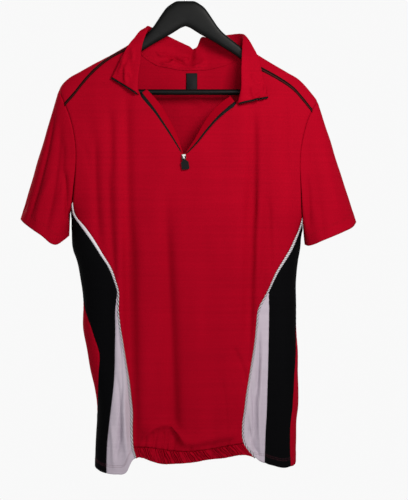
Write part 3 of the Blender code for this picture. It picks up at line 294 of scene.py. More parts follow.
bm = bmesh.new()
bmesh.ops.create_cone(bm, cap_ends=True, segments=BAR_SIDES, radius1=BAR_RADIUS * MM,
                      radius2=BAR_RADIUS * MM, depth=2 * BAR_REACH * MM,
                      matrix=Matrix.Rotation(math.pi / 2, 4, "Y"))
bmesh.ops.translate(bm, verts=bm.verts, vec=(0, 0, -(HOOK_TO_HANGER + BAR_DROP) * MM))
bar = to_object("trouser_bar", bm, lacquer)
bar.data.set_sharp_from_angle(angle=math.radians(40))
place_piece(bar, "hanger_black", "hanger_bar")

# Drawn steel wire, polished and nickel plated: a smooth bright metal with fine lines along the draw.
wire_steel, tree, shader = new_surface("polished_steel_wire", 0.2, 1.0, Base_Color=linear("#C9C9CB"))
place = add_node(tree, "ShaderNodeTexCoord").outputs["Object"]
draw_lines = add_node(tree, "ShaderNodeTexNoise", inputs={"Vector": place, "Scale": 900.0})
shine = add_node(tree, "ShaderNodeMapRange", inputs={
    "Value": draw_lines.outputs["Fac"], "To Min": 0.14, "To Max": 0.3})
tree.links.new(shine.outputs["Result"], shader.inputs["Roughness"])

turns = np.radians(np.linspace(*HOOK_ARC, HOOK_STEPS))
route = [*HOOK_SHANK, *[(HOOK_RADIUS * math.cos(a), HOOK_RADIUS * math.sin(a)) for a in turns]]
wire = bpy.data.curves.new("hook_line", "CURVE")
wire.dimensions = "3D"
wire.bevel_depth = HOOK_WIRE / 2 * MM
wire.bevel_resolution = 5
wire.use_fill_caps = True
line = wire.splines.new("POLY")
line.points.add(len(route) - 1)
for point, (x, z) in zip(line.points, route):
    point.co = (x * MM, 0.0, z * MM, 1.0)
guide = bpy.data.objects.new("hook_guide", wire)
scene.collection.objects.link(guide)
bpy.context.view_layer.update()
bm = bmesh.new()
bm.from_mesh(guide.evaluated_get(bpy.context.evaluated_depsgraph_get()).to_mesh())
bpy.data.objects.remove(guide)
bmesh.ops.remove_doubles(bm, verts=bm.verts, dist=1e-6)
bmesh.ops.recalc_face_normals(bm, faces=bm.faces)
hook = to_object("wire_hook", bm, wire_steel)
hook.data.set_sharp_from_angle(angle=math.radians(50))
place_piece(hook, "hook_steel", "hanger_hook")

# Front panel
# One panel of red interlock knit, cut in a V for the half zip and sewn to tapes, sleeves, piping and
# hem band. It hangs from the shoulders in soft upright folds and swells a little over the hem band.
WALL = 0.9                 # cloth as drawn; the knit is about 0.7 mm
RIDGE_SPREAD = 70.0        # drop over which the cloth rounds away from the shoulder ridge
FLATNESS = 1.6             # how flat the front and back are between the rounded sides
SOLVE_STEPS = 40
FOLD_EASE, FOLD_RUN_OUT, FOLD_START, FOLD_FLAT = 70.0, 30.0, 0.6, 0.6
ROLL_DEPTH, ROLL_FADE = 6.5, 22.0
ROLL_WIDTHS = (11.0, 6.5)  # of the swelling above and below its middle
ROLL_SPAN = (-80.0, 92.0)
FINE = 6                   # columns and rows of cloth in each step between stations
FINE_ROWS = 9
PIPING_ROWS = 7
WEDGE_ROWS = 9
PIPING_TIP = 495.0
SHOULDER_STEPS, NECK_STEPS, ZIP_STEPS = 6, 2, 6
OUTWARD = {"right": -1.0, "left": 1.0}
FRONT_PARTS = (0.14, 0.24, 0.35, 0.46, 0.57, 0.68, 0.79, 0.90)
FRONT_SEAM_TOP = {"right": 343.0, "left": 370.0}
BAND_TOP = {"right": 756.0, "left": 749.0}
FRONT_HEM = 774.0

# Level sections of the body, the shoulder ridge and the seams, as the panels were cut.
BODY = table("drop right_side left_side front back", (
    (40, -250, 254, 31, 29), (150, -250, 254, 33, 30), (230, -246, 252, 38, 32),
    (300, -232, 244, 42, 34), (335, -212, 232, 44, 35), (362, -195, 214, 45, 36),
    (388, -193, 199, 45, 36), (423, -190, 194, 45, 37), (440, -184, 191, 45, 37),
    (474, -178, 188, 44, 37), (508, -173.5, 188, 43, 37), (559, -173, 188, 42, 38),
    (593, -167, 190, 42, 39), (627, -161, 190.5, 42, 40), (661, -153.5, 192, 43, 41),
    (690, -149.5, 191, 44, 42), (712, -150, 188, 44, 42), (746, -152, 187.5, 44, 43),
    (830, -154, 187, 44, 43),
))
RIDGE = table("x drop", (
    (-245, 204), (-224, 165), (-215, 151), (-210, 143), (-200, 133), (-180, 121), (-157, 108.5),
    (-133, 96), (-110, 82.5), (-91, 71.2), (-75, 60), (-60, 50.5), (-30, 42), (0, 40), (30, 42),
    (60, 50.5), (75, 60), (91, 71.2), (103, 79.2), (124, 93), (147, 107), (173, 122), (193, 134),
    (202, 143), (213, 156.5), (224, 171), (245, 206),
))
ARMHOLE = table("part right_x right_drop left_x left_drop", (
    (0.00, -215, 151, 224, 171), (0.07, -211.5, 161, 220.5, 178), (0.15, -203.5, 179, 214, 189),
    (0.25, -196, 198, 207, 205), (0.37, -189.5, 223, 200, 229), (0.50, -185.5, 252, 195, 258),
    (0.62, -185.2, 276, 194, 285), (0.78, -187.5, 312, 195, 325), (0.90, -191, 343, 197, 370),
    (0.96, -193.5, 356, 198.4, 383), (1.00, -195, 362, 199, 388),
))
SHOULDER = table("right_x right_drop left_x left_drop", (
    (-97, 79.6, 108, 107), (-127, 96.5, 131, 118), (-156, 120, 155, 131), (-174, 140, 184, 151),
    (-187, 157, 199, 168),
))
FRONT_NECK = table("right_x right_drop left_x left_drop", (
    (-97, 79.6, 108, 107), (-92, 108, 101.5, 133), (-85, 137, 94, 158), (-78, 162, 87, 178),
))
ZIP = table("right_x right_drop left_x left_drop tape right_facing left_facing", (
    (-78, 162, 87, 178, 6.5, 10, 12), (-66, 175.5, 69, 191, 5.0, 12, 14),
    (-52, 192, 52, 206, 3.6, 12, 12), (-38, 212, 36, 224, 3.0, 10, 8), (-24, 233, 19, 245, 2.4, 6, 4.5),
    (-4.6, 264, -0.4, 264, 1.2, 0.6, 0.6),
))
FRONT_SEAM = table("drop right_x left_x right_piping left_piping", (
    (343, -191, 203, 1.6, 1.4), (358, -189.5, 200, 2.0, 1.4), (371, -182, 197, 3.4, 1.4),
    (388, -167, 192, 4.6, 1.8), (403, -156, 185.5, 4.4, 2.8), (423, -145, 176, 3.8, 3.6),
    (443, -130, 164, 3.4, 3.6), (465, -122, 151, 3.0, 3.0), (481, -115, 144, 2.6, 2.6),
    (495, -112, 137.5, 2.4, 2.4), (520, -112.5, 124, 2.4, 2.4), (547, -110, 120, 2.4, 2.4),
    (587, -103, 116, 2.4, 2.4), (636, -95, 108, 2.4, 2.4), (671, -92, 102, 2.4, 2.4),
    (702, -90, 98.5, 2.4, 2.4), (735, -90, 95.5, 2.4, 2.4), (748, -89.5, 98, 2.4, 2.4),
    (762, -87, 108, 2.4, 2.4), (776, -82.5, 118, 2.4, 2.4),
))
BAND_LINE = table("x drop", (
    (-92, 756), (-60, 757), (-30, 761), (0, 763), (35, 760), (70, 754), (100, 749),
))

ROLL_LINE = table("x drop", (
    (-92, 744), (-76, 740), (-64, 732), (-50, 722), (-36, 719), (-22, 722), (-13, 734), (-3, 745),
    (10, 748), (35, 743), (62, 738), (92, 734),
))

# Folds that hang in the cloth: troughs are negative, ridges positive, each from top to low end.
FRONT_FOLDS = table("top_x top_drop low_x low_drop width depth", (
    (-101, 130, -90, 760, 11, -4.6), (-118, 190, -108, 740, 9, 2.6), (-132, 150, -119, 450, 9, -2.6),
    (-167, 150, -143, 430, 11, -2.4), (-34, 290, -17, 750, 13, -4.0), (-58, 460, -52, 740, 20, -2.6),
    (12, 420, 22, 730, 24, 2.2), (113, 170, 107, 560, 10, -4.0), (128, 180, 121, 470, 8, 2.0),
    (142, 300, 128, 500, 8, -2.8), (188, 210, 180, 390, 9, -1.8), (78, 575, 96, 660, 6, -1.8),
    (-110, 600, -107, 790, 6, -1.8), (118, 560, 124, 790, 7, -2.6),
))
BACK_FOLDS = table("top_x top_drop low_x low_drop width depth", (
    (-128, 140, -112, 760, 13, -4.2), (-96, 180, -84, 700, 10, 2.4), (-30, 200, -40, 765, 16, -3.4),
    (22, 240, 12, 765, 14, 2.6), (74, 170, 62, 765, 13, -3.6), (131, 160, 118, 765, 12, -4.0),
    (160, 260, 150, 600, 10, 2.0),
))

# Creases that the cloth keeps: each bows sideways by its bend, and its walls have their own widths.
FRONT_CREASES = table("from_x from_drop to_x to_drop bend near far depth", (
    (-100, 170, -94, 430, -2, 6, 9, -2.8), (-97, 370, -84, 790, -2, 8, 17, -8.6),
    (-34, 360, -17, 790, 1, 26, 9, -7.4), (115, 180, 114, 380, 2, 12, 6, -3.6),
    (114, 300, 108, 640, -1, 16, 7, -6.2), (-152, 235, -146, 410, -2, 5, 7, -2.8),
    (-130, 290, -118, 480, -2, 6, 6, -3.4), (-127, 190, -126, 300, 2, 7, 7, -2.2),
    (139, 330, 144, 458, 2, 6, 4, -2.4), (155, 372, 161, 442, -1, 4, 4, -1.6),
    (171, 180, 173, 310, -2, 7, 6, -2.0), (81, 588, 103, 648, 3, 5, 4, -2.8),
    (-176, 235, -160, 300, 3, 6, 4, -1.0), (62, 640, 70, 740, 2, 7, 4, -1.2),
    (30, 230, 18, 420, 4, 22, 18, 1.6), (-69, 762, -64, 738, 1, 2.5, 3, -2.4),
    (-59, 764, -55, 730, -2, 2.5, 2, -2.6), (-51, 766, -45, 726, 2, 2, 3, -2.2),
    (-40, 766, -36, 728, -1, 3, 2, -2.6), (-30, 766, -24, 732, 3, 2, 3, -2.4),
    (-20, 766, -16, 742, 1, 2, 2, -1.8), (8, 768, 12, 752, 1, 3, 2, -1.4),
    (44, 764, 52, 748, 2, 2, 3, -1.6), (70, 760, 80, 742, 2, 3, 2, -1.6),
))
BACK_CREASES = table("from_x from_drop to_x to_drop bend near far depth", (
    (-126, 170, -114, 480, 3, 8, 5, -3.8), (-34, 230, -38, 520, -3, 6, 10, -3.4),
    (72, 190, 66, 430, 2, 9, 5, -3.6), (129, 200, 122, 560, -3, 5, 8, -4.0),
    (-70, 420, -64, 720, 2, 12, 6, -3.8), (12, 470, 8, 740, -2, 7, 12, -3.2),
    (96, 560, 92, 755, 2, 6, 5, -3.2), (-108, 600, -104, 760, -2, 5, 8, -3.6),
    (-24, 158, 34, 176, 5, 5, 7, -3.2), (40, 640, 44, 750, 1, 8, 5, -2.6),
    (-150, 230, -132, 330, 4, 5, 6, -2.4), (146, 250, 136, 380, -3, 6, 5, -2.8),
))
CREASE_RUN = 0.3           # share of a crease's length over which it fades
CREASE_OVERRUN = 0.1       # share by which a crease runs on past its ends
CREASE_POWER = 1.7         # under 2 gives a crease a sharper foot than a round fold
CREASE_FLAT = 0.35         # creases fade where the cloth turns round the sides
ANGLE_STEP, FALL_STEP = 0.4, 0.004  # small steps that find which way the cloth faces
RUMPLE = (58.0, 0.9)       # size and depth of the cloth's slow unevenness
PUCKER_PITCH = 2.1         # mm along a seam for each radian of its puckers
PUCKER_DRIFT = ((1.9, 9.7), (0.8, 23.0))   # slow waves that make the puckers uneven
ROW_GAP = 3.0              # between the two needle rows of a hem
HEM_STEP, HEM_EDGE = 0.35, 1.5      # height of the turned-up hem's edge, and the width it takes
NEEDLE_DITCH, NEEDLE_WIDTH = 0.4, 0.8
EVEN_ROUNDS = 60           # rounds that even out a panel's grid round the neck


def ring(drop):
    """Middle and half-width of the body's level section at a drop."""
    right = between(BODY, "right_side", drop)
    left = between(BODY, "left_side", drop)
    return (right + left) / 2, (left - right) / 2


def front_domain(places):
    """Angle round the body and fall below the ridge of places (x, drop) on the front."""
    x, drop = places[..., 0], places[..., 1]
    middle, half = ring(drop)
    angle = np.degrees(np.arcsin(np.clip((x - middle) / half, -1.0, 1.0)))
    below = np.maximum(drop - between(RIDGE, "drop", x, key="x"), 0.0)
    return np.stack([angle, np.sqrt(below / RIDGE_SPREAD)], axis=-1)


def behind(domain, half_turn=180.0):
    """The same angles and falls, counted from the back."""
    return np.stack([half_turn - domain[..., 0], domain[..., 1]], axis=-1)


def fold_depth(folds, x, drop):
    """How far the hanging folds push the cloth out."""
    total = np.zeros(np.shape(x))
    for top_x, top_drop, low_x, low_drop, width, depth in zip(*folds.values()):
        t = (drop - top_drop) / (low_drop - top_drop)
        across = np.exp(-((x - top_x - (low_x - top_x) * t) / width) ** 2)
        rise = ease((drop - top_drop) / FOLD_EASE)
        fade = ease((low_drop + FOLD_RUN_OUT - drop) / FOLD_EASE)
        grown = FOLD_START + (1 - FOLD_START) * np.clip(t, 0, 1)
        total = total + depth * across * rise * fade * grown
    return total


def roll_depth(x, drop):
    """Swelling of the front just above its hem band."""
    below = drop - between(ROLL_LINE, "drop", x, key="x")
    inside = ease((x - ROLL_SPAN[0]) / ROLL_FADE) * ease((ROLL_SPAN[1] - x) / ROLL_FADE)
    width = np.where(below < 0, *ROLL_WIDTHS)
    return ROLL_DEPTH * inside * np.exp(-(below / width) ** 2)


def cloth(domain):
    """Points of the body's surface from angles and falls."""
    angle, fall = domain[..., 0], domain[..., 1]
    drop = np.full(np.shape(angle), BODY["drop"][0])
    x = np.zeros_like(drop)
    for _ in range(SOLVE_STEPS):
        middle, half = ring(drop)
        x = middle + half * np.sin(np.radians(angle))
        drop = 0.5 * drop + 0.5 * (between(RIDGE, "drop", x, key="x") + RIDGE_SPREAD * fall ** 2)
    forward = np.tanh(FLATNESS * np.cos(np.radians(angle))) / math.tanh(FLATNESS) * np.tanh(fall)
    depth = np.where(forward > 0, between(BODY, "front", drop), between(BODY, "back", drop))
    push = np.where(forward > 0, fold_depth(FRONT_FOLDS, x, drop) + roll_depth(x, drop),
                    fold_depth(BACK_FOLDS, x, drop)) * ease(np.abs(forward) / FOLD_FLAT)
    y = -forward * depth - np.sign(forward) * push
    return np.stack([x, y, -(HOOK_TO_HANGER + drop)], axis=-1)


def crease_depth(creases, x, drop):
    """Creases laid one by one, faded at both ends; near is the width on the wearer's right."""
    total = np.zeros(np.shape(x))
    for from_x, from_drop, to_x, to_drop, bend, near, far, depth in zip(*creases.values()):
        length = math.hypot(to_x - from_x, to_drop - from_drop)
        along_x, along_drop = (to_x - from_x) / length, (to_drop - from_drop) / length
        t = ((x - from_x) * along_x + (drop - from_drop) * along_drop) / length
        side = (x - from_x) * along_drop - (drop - from_drop) * along_x - bend * 4 * t * (1 - t)
        fade = (ease((t + CREASE_OVERRUN) / CREASE_RUN)
                * ease((1 + CREASE_OVERRUN - t) / CREASE_RUN))
        width = np.where(side < 0, near, far)
        total = total + depth * fade * np.exp(-np.abs(side / width) ** CREASE_POWER)
    return total


def rumple(points, size, depth):
    """Slow unevenness of hanging cloth."""
    places = points.reshape(-1, 3) / size
    values = np.array([noise.noise(Vector(place)) for place in places])
    return depth * values.reshape(points.shape[:-1])


def seen_at(points):
    """The x and drop of points."""
    return points[..., 0], -points[..., 2] - HOOK_TO_HANGER


def hung(domain):
    """Points of the hanging body cloth with its creases, and their outward directions."""
    points = cloth(domain)
    across = cloth(domain + (ANGLE_STEP, 0.0)) - cloth(domain - (ANGLE_STEP, 0.0))
    down = cloth(domain + (0.0, FALL_STEP)) - cloth(domain - (0.0, FALL_STEP))
    normals = np.cross(down, across)
    normals /= np.linalg.norm(normals, axis=-1, keepdims=True)
    x, drop = seen_at(points)
    forward = np.cos(np.radians(domain[..., 0])) * np.tanh(domain[..., 1])
    depth = np.where(forward > 0, crease_depth(FRONT_CREASES, x, drop),
                     crease_depth(BACK_CREASES, x, drop)) * ease(np.abs(forward) / CREASE_FLAT)
    depth = depth + rumple(points, *RUMPLE)
    return points + normals * depth[..., None], normals


def grid_normals(points):
    """Directions square to a grid of points."""
    normals = np.cross(np.gradient(points, axis=0), np.gradient(points, axis=1))
    return normals / np.linalg.norm(normals, axis=-1, keepdims=True)


def patch(top, bottom, right, left, weights=(1.0, 1.0)):
    """Grid between four edges that meet at their ends."""
    def share(points):
        steps = np.linalg.norm(np.diff(points * np.array(weights), axis=0), axis=1)
        run = np.concatenate([[0.0], np.cumsum(steps)])
        return run / run[-1]

    u = (share(top) + share(bottom))[None, :, None] / 2
    v = (share(right) + share(left))[:, None, None] / 2
    corners = ((1 - v) * ((1 - u) * top[0] + u * top[-1])
               + v * ((1 - u) * bottom[0] + u * bottom[-1]))
    return ((1 - v) * top[None] + v * bottom[None]
            + (1 - u) * right[:, None] + u * left[:, None] - corners)


def evened(grid, rounds):
    """The grid with each inner place drawn towards the middle of its neighbours."""
    for _ in range(rounds):
        grid[1:-1, 1:-1] = (grid[2:, 1:-1] + grid[:-2, 1:-1] + grid[1:-1, 2:] + grid[1:-1, :-2]) / 4
    return grid


def finer(stations, steps=FINE_ROWS):
    """The same stations with more between them, on a smooth line."""
    stations = np.array(stations, dtype=float).reshape(len(stations), -1)
    at = np.linspace(0, len(stations) - 1, (len(stations) - 1) * steps + 1)
    rows = np.arange(len(stations), dtype=float)
    columns = [between({"row": rows, "value": values}, "value", at, "row") for values in stations.T]
    return np.stack(columns, axis=1) if len(columns) > 1 else columns[0]


def seam_run(source, side, parts):
    """Places (x, drop) at even shares along a seam's table."""
    xs, drops = source[side + "_x"], source[side + "_drop"]
    share = np.concatenate([[0.0], np.cumsum(np.hypot(np.diff(xs), np.diff(drops)))])
    run = {"share": share / share[-1], "x": xs, "drop": drops}
    at = np.linspace(0, 1, parts + 1)
    return side_by_side(run, "x drop", at, "share")


def armhole(side, at):
    """Places at parts of one half of an armhole, from the shoulder ridge to the underarm."""
    return side_by_side(ARMHOLE, f"{side}_x {side}_drop", at, "part")


def shoulder_seam(side):
    """Places along the shoulder seam, from the neck to the armhole."""
    end = armhole(side, FRONT_PARTS[0])
    run = {side + "_x": np.append(SHOULDER[side + "_x"], end[0]),
           side + "_drop": np.append(SHOULDER[side + "_drop"], end[1])}
    return seam_run(run, side, SHOULDER_STEPS * FINE)


def seam_drops(side):
    """Drops of the stations down the front seam, from the armhole to the hem."""
    upper = np.linspace(FRONT_SEAM_TOP[side], PIPING_TIP, PIPING_ROWS + 1)
    lower = np.linspace(PIPING_TIP, BAND_TOP[side], WEDGE_ROWS + 1)
    return np.concatenate([upper, lower[1:], [FRONT_HEM]])


def front_seam(side):
    """Stations (x, drop) down the front's edge."""
    drops = seam_drops(side)
    return np.stack([between(FRONT_SEAM, side + "_x", drops), drops], axis=1)


def edge_runs(points):
    """Distances of a grid's points from its top, bottom, first and last edge."""
    down = np.cumsum(np.linalg.norm(np.diff(points, axis=0, prepend=points[:1]), axis=2), axis=0)
    across = np.cumsum(np.linalg.norm(np.diff(points, axis=1, prepend=points[:, :1]), axis=2), axis=1)
    return {"t": down, "b": down[-1:] - down, "r": across, "l": across[:, -1:] - across}


def sewn(points, edges, ditch=0.8, run=1.6, pucker=0.3, span=9.0):
    """Ditch, and puckers beside it, that sewing pulls into the cloth along its seams."""
    runs = edge_runs(points)
    total = np.zeros(points.shape[:2])
    for edge in edges:
        along = runs["t"] if edge in "rl" else runs["r"]
        phase = along / PUCKER_PITCH
        for size, pitch in PUCKER_DRIFT:
            phase = phase + size * np.sin(along / pitch)
        total -= ditch * np.exp(-(runs[edge] / run) ** 2)
        total += pucker * np.sin(phase) * np.exp(-runs[edge] / span) * ease(runs[edge] / run)
    return total


def hemmed(points, depth):
    """Step where the cloth is turned up at its lower edge, with two needle rows pulled in."""
    from_hem = edge_runs(points)["b"]
    step = HEM_STEP * ease((depth + HEM_EDGE - from_hem) / HEM_EDGE)
    for row in (depth, depth - ROW_GAP):
        step = step - NEEDLE_DITCH * np.exp(-((from_hem - row) / NEEDLE_WIDTH) ** 2)
    return step


def add_cloth(name, points, flat, surface, thick=WALL, closed=False):
    """Sheet of cloth on a grid of points, with its wall; its UV map is in metres of its cut."""
    piece = lay_grid(name, points, flat, surface, closed)
    wall = piece.modifiers.new("wall", "SOLIDIFY")
    wall.thickness = thick * MM
    wall.offset = 0.0
    return piece


def seam_line(points, normals, edge, distance, lift=WALL / 2 + 0.1):
    """Line a distance inside a grid's edge, lifted onto the face of the cloth."""
    runs = edge_runs(points)[edge]
    raised = points + lift * normals
    if edge in "tb":
        runs, raised = runs.T, raised.transpose(1, 0, 2)
    line = []
    for run, places in zip(runs, raised):
        order = np.argsort(run)
        line.append([np.interp(distance, run[order], places[order, k]) for k in range(3)])
    return np.array(line)


def add_stitches(name, lines, surface, pitch=3.0, length=2.3, thick=0.55):
    """Rows of thread stitches along lines of points, one small bead for each stitch."""
    bm = bmesh.new()
    for points in lines:
        run = np.concatenate([[0.0], np.cumsum(np.linalg.norm(np.diff(points, axis=0), axis=1))])
        for at in np.arange(pitch / 2, run[-1], pitch):
            here, ahead = (Vector([np.interp(place, run, points[:, k]) for k in range(3)])
                           for place in (at, at + pitch / 4))
            turned = (ahead - here).to_track_quat("X", "Z").to_matrix().to_4x4()
            size = Matrix.Diagonal((length / 2, thick / 2, thick / 2, 1.0))
            matrix = Matrix.Scale(MM, 4) @ Matrix.Translation(here) @ turned @ size
            bmesh.ops.create_icosphere(bm, subdivisions=1, radius=1.0, matrix=matrix)
    return to_object(name, bm, surface)


WALE, COURSE = 0.0013, 0.0011    # columns and rows of stitches as drawn, m; real ones are 0.5 mm apart
ROW_STREAKS = (5, 5, 330)        # faint level rows, drawn about 3 mm deep; the real ones are finer
DYE_AND_SHADE_BANDS = (26, 26, 5)         # faint upright bands at random, about 40 mm wide: part dye, part painted shade of long upright folds
YARN_SPOTS = 420.0               # uneven yarn, in spots of about 2.4 mm; real ones are finer


def repeats(pitch):
    """Scale at which a wave pattern repeats once in a pitch, in metres."""
    return math.pi / 10 / pitch


def knit(name, deep, bright, roughness, sheen, sheen_tint, specular):
    """Knitted cloth. Its 0.5 mm stitches are too fine to show, so wales and courses are drawn about
    1.2 mm apart as low relief. Its colour has faint level rows, upright bands that are part dye and
    part painted shade of long folds, and uneven yarn."""
    made, tree, shader = new_surface(name, roughness, Sheen_Weight=sheen, Sheen_Roughness=0.45,
                                     Specular_IOR_Level=specular, Sheen_Tint=linear(sheen_tint))
    weave = add_node(tree, "ShaderNodeUVMap", {"uv_map": "cloth"}).outputs["UV"]
    place = add_node(tree, "ShaderNodeTexCoord").outputs["Object"]
    wales = add_node(tree, "ShaderNodeTexWave", {"bands_direction": "X"}, {
        "Vector": weave, "Scale": repeats(WALE), "Distortion": 0.4, "Detail": 1.0})
    courses = add_node(tree, "ShaderNodeTexWave", {"bands_direction": "Y"}, {
        "Vector": weave, "Scale": repeats(COURSE), "Distortion": 0.6, "Detail": 1.0})
    stitch = add_node(tree, "ShaderNodeMath", {"operation": "MULTIPLY"}, {
        0: wales.outputs["Fac"], 1: courses.outputs["Fac"]})
    yarn = add_node(tree, "ShaderNodeTexNoise", inputs={"Vector": weave, "Scale": YARN_SPOTS})
    rows = add_node(tree, "ShaderNodeMapping", inputs={"Vector": place, "Scale": ROW_STREAKS})
    streak = add_node(tree, "ShaderNodeTexNoise", inputs={"Vector": rows.outputs["Vector"], "Scale": 1.0})
    # Upright bands of darker and lighter colour at random: part dye, part painted shade of long upright
    # folds.
    bands = add_node(tree, "ShaderNodeMapping", inputs={"Vector": place, "Scale": DYE_AND_SHADE_BANDS})
    dye_and_shade = add_node(tree, "ShaderNodeTexNoise", inputs={"Vector": bands.outputs["Vector"], "Scale": 1.0})
    soft = add_node(tree, "ShaderNodeMath", {"operation": "MULTIPLY"}, {0: dye_and_shade.outputs["Fac"], 1: 0.3})
    uneven = add_node(tree, "ShaderNodeMath", {"operation": "MULTIPLY_ADD"}, {
        0: streak.outputs["Fac"], 1: 0.25, 2: soft.outputs["Value"]})
    blend = add_node(tree, "ShaderNodeMath", {"operation": "MULTIPLY_ADD"}, {
        0: yarn.outputs["Fac"], 1: 0.4, 2: uneven.outputs["Value"]})
    spread = add_node(tree, "ShaderNodeMapRange", inputs={
        "Value": blend.outputs["Value"], "From Min": 0.25, "From Max": 0.7})
    tint = add_node(tree, "ShaderNodeMix", {"data_type": "RGBA"}, {
        "Factor": spread.outputs["Result"], "A": linear(deep), "B": linear(bright)})
    tree.links.new(tint.outputs["Result"], shader.inputs["Base Color"])
    height = add_node(tree, "ShaderNodeBump", inputs={
        "Strength": 0.5, "Distance": 0.0001, "Height": stitch.outputs["Value"]})
    fuzz = add_node(tree, "ShaderNodeBump", inputs={
        "Strength": 0.35, "Distance": 0.0001, "Height": yarn.outputs["Fac"],
        "Normal": height.outputs["Normal"]})
    tree.links.new(fuzz.outputs["Normal"], shader.inputs["Normal"])
    return made


def thread(name, colour):
    """Spun polyester sewing thread: matt, with hardly a highlight on each stitch."""
    return new_surface(name, 0.6, Base_Color=linear(colour), Specular_IOR_Level=0.08)[0]


def sew_rows(name, points, normals, depths, surface, slot):
    """Level rows of stitches at depths above a piece's lower edge."""
    rows = [seam_line(points, normals, "b", depth) for depth in depths]
    place_piece(add_stitches(name, rows, surface), slot)


# Red interlock polyester, piece dyed: matt, smooth on its face, with a soft bloom along the edges.
red_knit = knit("red_interlock_polyester", "#8C0318", "#A8051F", 0.72, 0.06, "#C80014", 0.012)
red_thread = thread("red_polyester_thread", "#8E0418")

side_edges = {}
for side in OUTWARD:
    seam = finer(front_seam(side))[:(PIPING_ROWS + WEDGE_ROWS) * FINE_ROWS + 1]
    side_edges[side] = np.concatenate([armhole(side, finer(FRONT_PARTS))[:-1], seam])
shoulder = {side: shoulder_seam(side) for side in OUTWARD}
neck = {side: seam_run(FRONT_NECK, side, NECK_STEPS * FINE) for side in OUTWARD}
opening = {side: seam_run(ZIP, side, ZIP_STEPS * FINE) for side in OUTWARD}
top = np.concatenate([
    shoulder["right"][::-1], neck["right"][1:], opening["right"][1:],
    opening["left"][::-1], neck["left"][::-1][1:], shoulder["left"][1:],
])
low_x = np.linspace(side_edges["right"][-1, 0], side_edges["left"][-1, 0], len(top))
bottom = np.stack([low_x, between(BAND_LINE, "drop", low_x, key="x")], axis=1)
bottom[0], bottom[-1] = side_edges["right"][-1], side_edges["left"][-1]
places = evened(patch(top, bottom, side_edges["right"], side_edges["left"]), EVEN_ROUNDS)
points, normals = hung(front_domain(places))
points += normals * sewn(points, "tblr")[..., None]
front = add_cloth("front_cloth", points, (0.430, 0.700), red_knit)
place_piece(front, "red_knit", "front_panel")

# Back panel
# One panel of the same knit. It comes forward over the hanger to the tapes on the shoulders, narrows
# at the waist where the side panels wrap round behind it, and is turned up at its hem.
BACK_PARTS = (0.0, 0.03, 0.08, 0.16, 0.28, 0.42, 0.58, 0.73, 0.88)
FORWARD_PARTS = (0.14, 0.06, 0.0)
BACK_NECK_STEPS = 18
BACK_HEM = 771.0
BACK_HEM_TURN = 0.2
BACK_SEAM_HEM = {"right": 779.0, "left": 789.0}
HEM_DEPTH = 15.0
HEM_ROWS = (HEM_DEPTH, HEM_DEPTH - ROW_GAP)
ANGLE_WEIGHTS = (1.0, 60.0)

BACK_NECK = table("x fall", (
    (-97, -0.26), (-95, -0.1), (-92, 0.1), (-87.5, 0.3), (-80, 0.52), (-68, 0.75), (-50, 0.92),
    (-30, 0.99), (-8, 1.03), (15, 1.03), (38, 1.0), (58, 0.92), (74, 0.8), (88, 0.62), (99, 0.42),
    (105, 0.22), (108, 0.0), (109, -0.3), (108, -0.59),
))
BACK_SEAM = table("drop right left", (
    (400, 114, 112), (440, 112, 110), (474, 103, 104), (505, 90, 98.5), (522, 80, 95), (541, 71, 90),
    (576, 64, 82), (593, 62, 79.5), (610, 63.5, 78), (636, 69, 75), (670, 79, 71), (700, 90, 71),
    (740, 98, 70), (801, 100, 72),
))


def fall_at(x, drop):
    """Fall below the shoulder ridge of a place."""
    return np.sqrt(np.maximum(drop - between(RIDGE, "drop", x, key="x"), 0.0) / RIDGE_SPREAD)


def from_centre(side, angles, drops):
    """Angles and falls of places at angles from the back centre and drops."""
    middle, half = ring(drops)
    return np.stack([angles, fall_at(middle + half * np.sin(np.radians(angles)), drops)], axis=1)


def back_seam(side):
    """Angles and falls down the seam between side panel and back, counted from the back."""
    start = front_domain(armhole(side, BACK_PARTS[-1:]))
    drops = seam_drops(side)[1:]
    first = BACK_SEAM["drop"][0]
    drops = first + (drops - drops[0]) * (BACK_SEAM_HEM[side] - first) / (drops[-1] - drops[0])
    angles = (180.0 - between(BACK_SEAM, side, drops)) * OUTWARD[side]
    return finer(np.concatenate([start, from_centre(side, angles, drops)]))


def back_neck():
    """Angles and falls along the back neck seam, counted from the back."""
    at = np.linspace(0, len(BACK_NECK["x"]) - 1, BACK_NECK_STEPS * FINE + 1)
    run = {"row": np.arange(len(BACK_NECK["x"]), dtype=float), **BACK_NECK}
    x = between(run, "x", at, "row")
    fall = between(run, "fall", at, "row")
    drop = between(RIDGE, "drop", x, key="x") + RIDGE_SPREAD * fall ** 2
    middle, half = ring(drop)
    return np.stack([np.degrees(np.arcsin((x - middle) / half)), fall], axis=1)


back_edges = {}
for side in OUTWARD:
    ahead = front_domain(armhole(side, finer(FORWARD_PARTS))) * (1.0, -1.0)
    around = front_domain(armhole(side, finer(BACK_PARTS)))
    back_edges[side] = np.concatenate([ahead, around[1:], back_seam(side)[1:]])
over = {side: front_domain(shoulder[side]) * (1.0, -1.0) for side in OUTWARD}
neck_back = back_neck()
neck_back[0], neck_back[-1] = over["right"][0], over["left"][0]
top = np.concatenate([over["right"][::-1], neck_back[1:], over["left"][1:]])
share = np.linspace(0, 1, len(top))
right, left = back_edges["right"], back_edges["left"]
angles = right[-1, 0] + (left[-1, 0] - right[-1, 0]) * share
drops = (BACK_HEM + (BACK_SEAM_HEM["right"] - BACK_HEM) * (1 - ease(share / BACK_HEM_TURN))
         + (BACK_SEAM_HEM["left"] - BACK_HEM) * (1 - ease((1 - share) / BACK_HEM_TURN)))
bottom = from_centre("back", angles, drops)
bottom[0], bottom[-1] = right[-1], left[-1]
grid = evened(patch(top, bottom, right, left, ANGLE_WEIGHTS), EVEN_ROUNDS)
points, normals = hung(behind(grid))
points += normals * (sewn(points, "trl") + hemmed(points, HEM_DEPTH))[..., None]
back = add_cloth("back_cloth", points, (0.560, 0.755), red_knit)
place_piece(back, "red_knit", "back_panel")
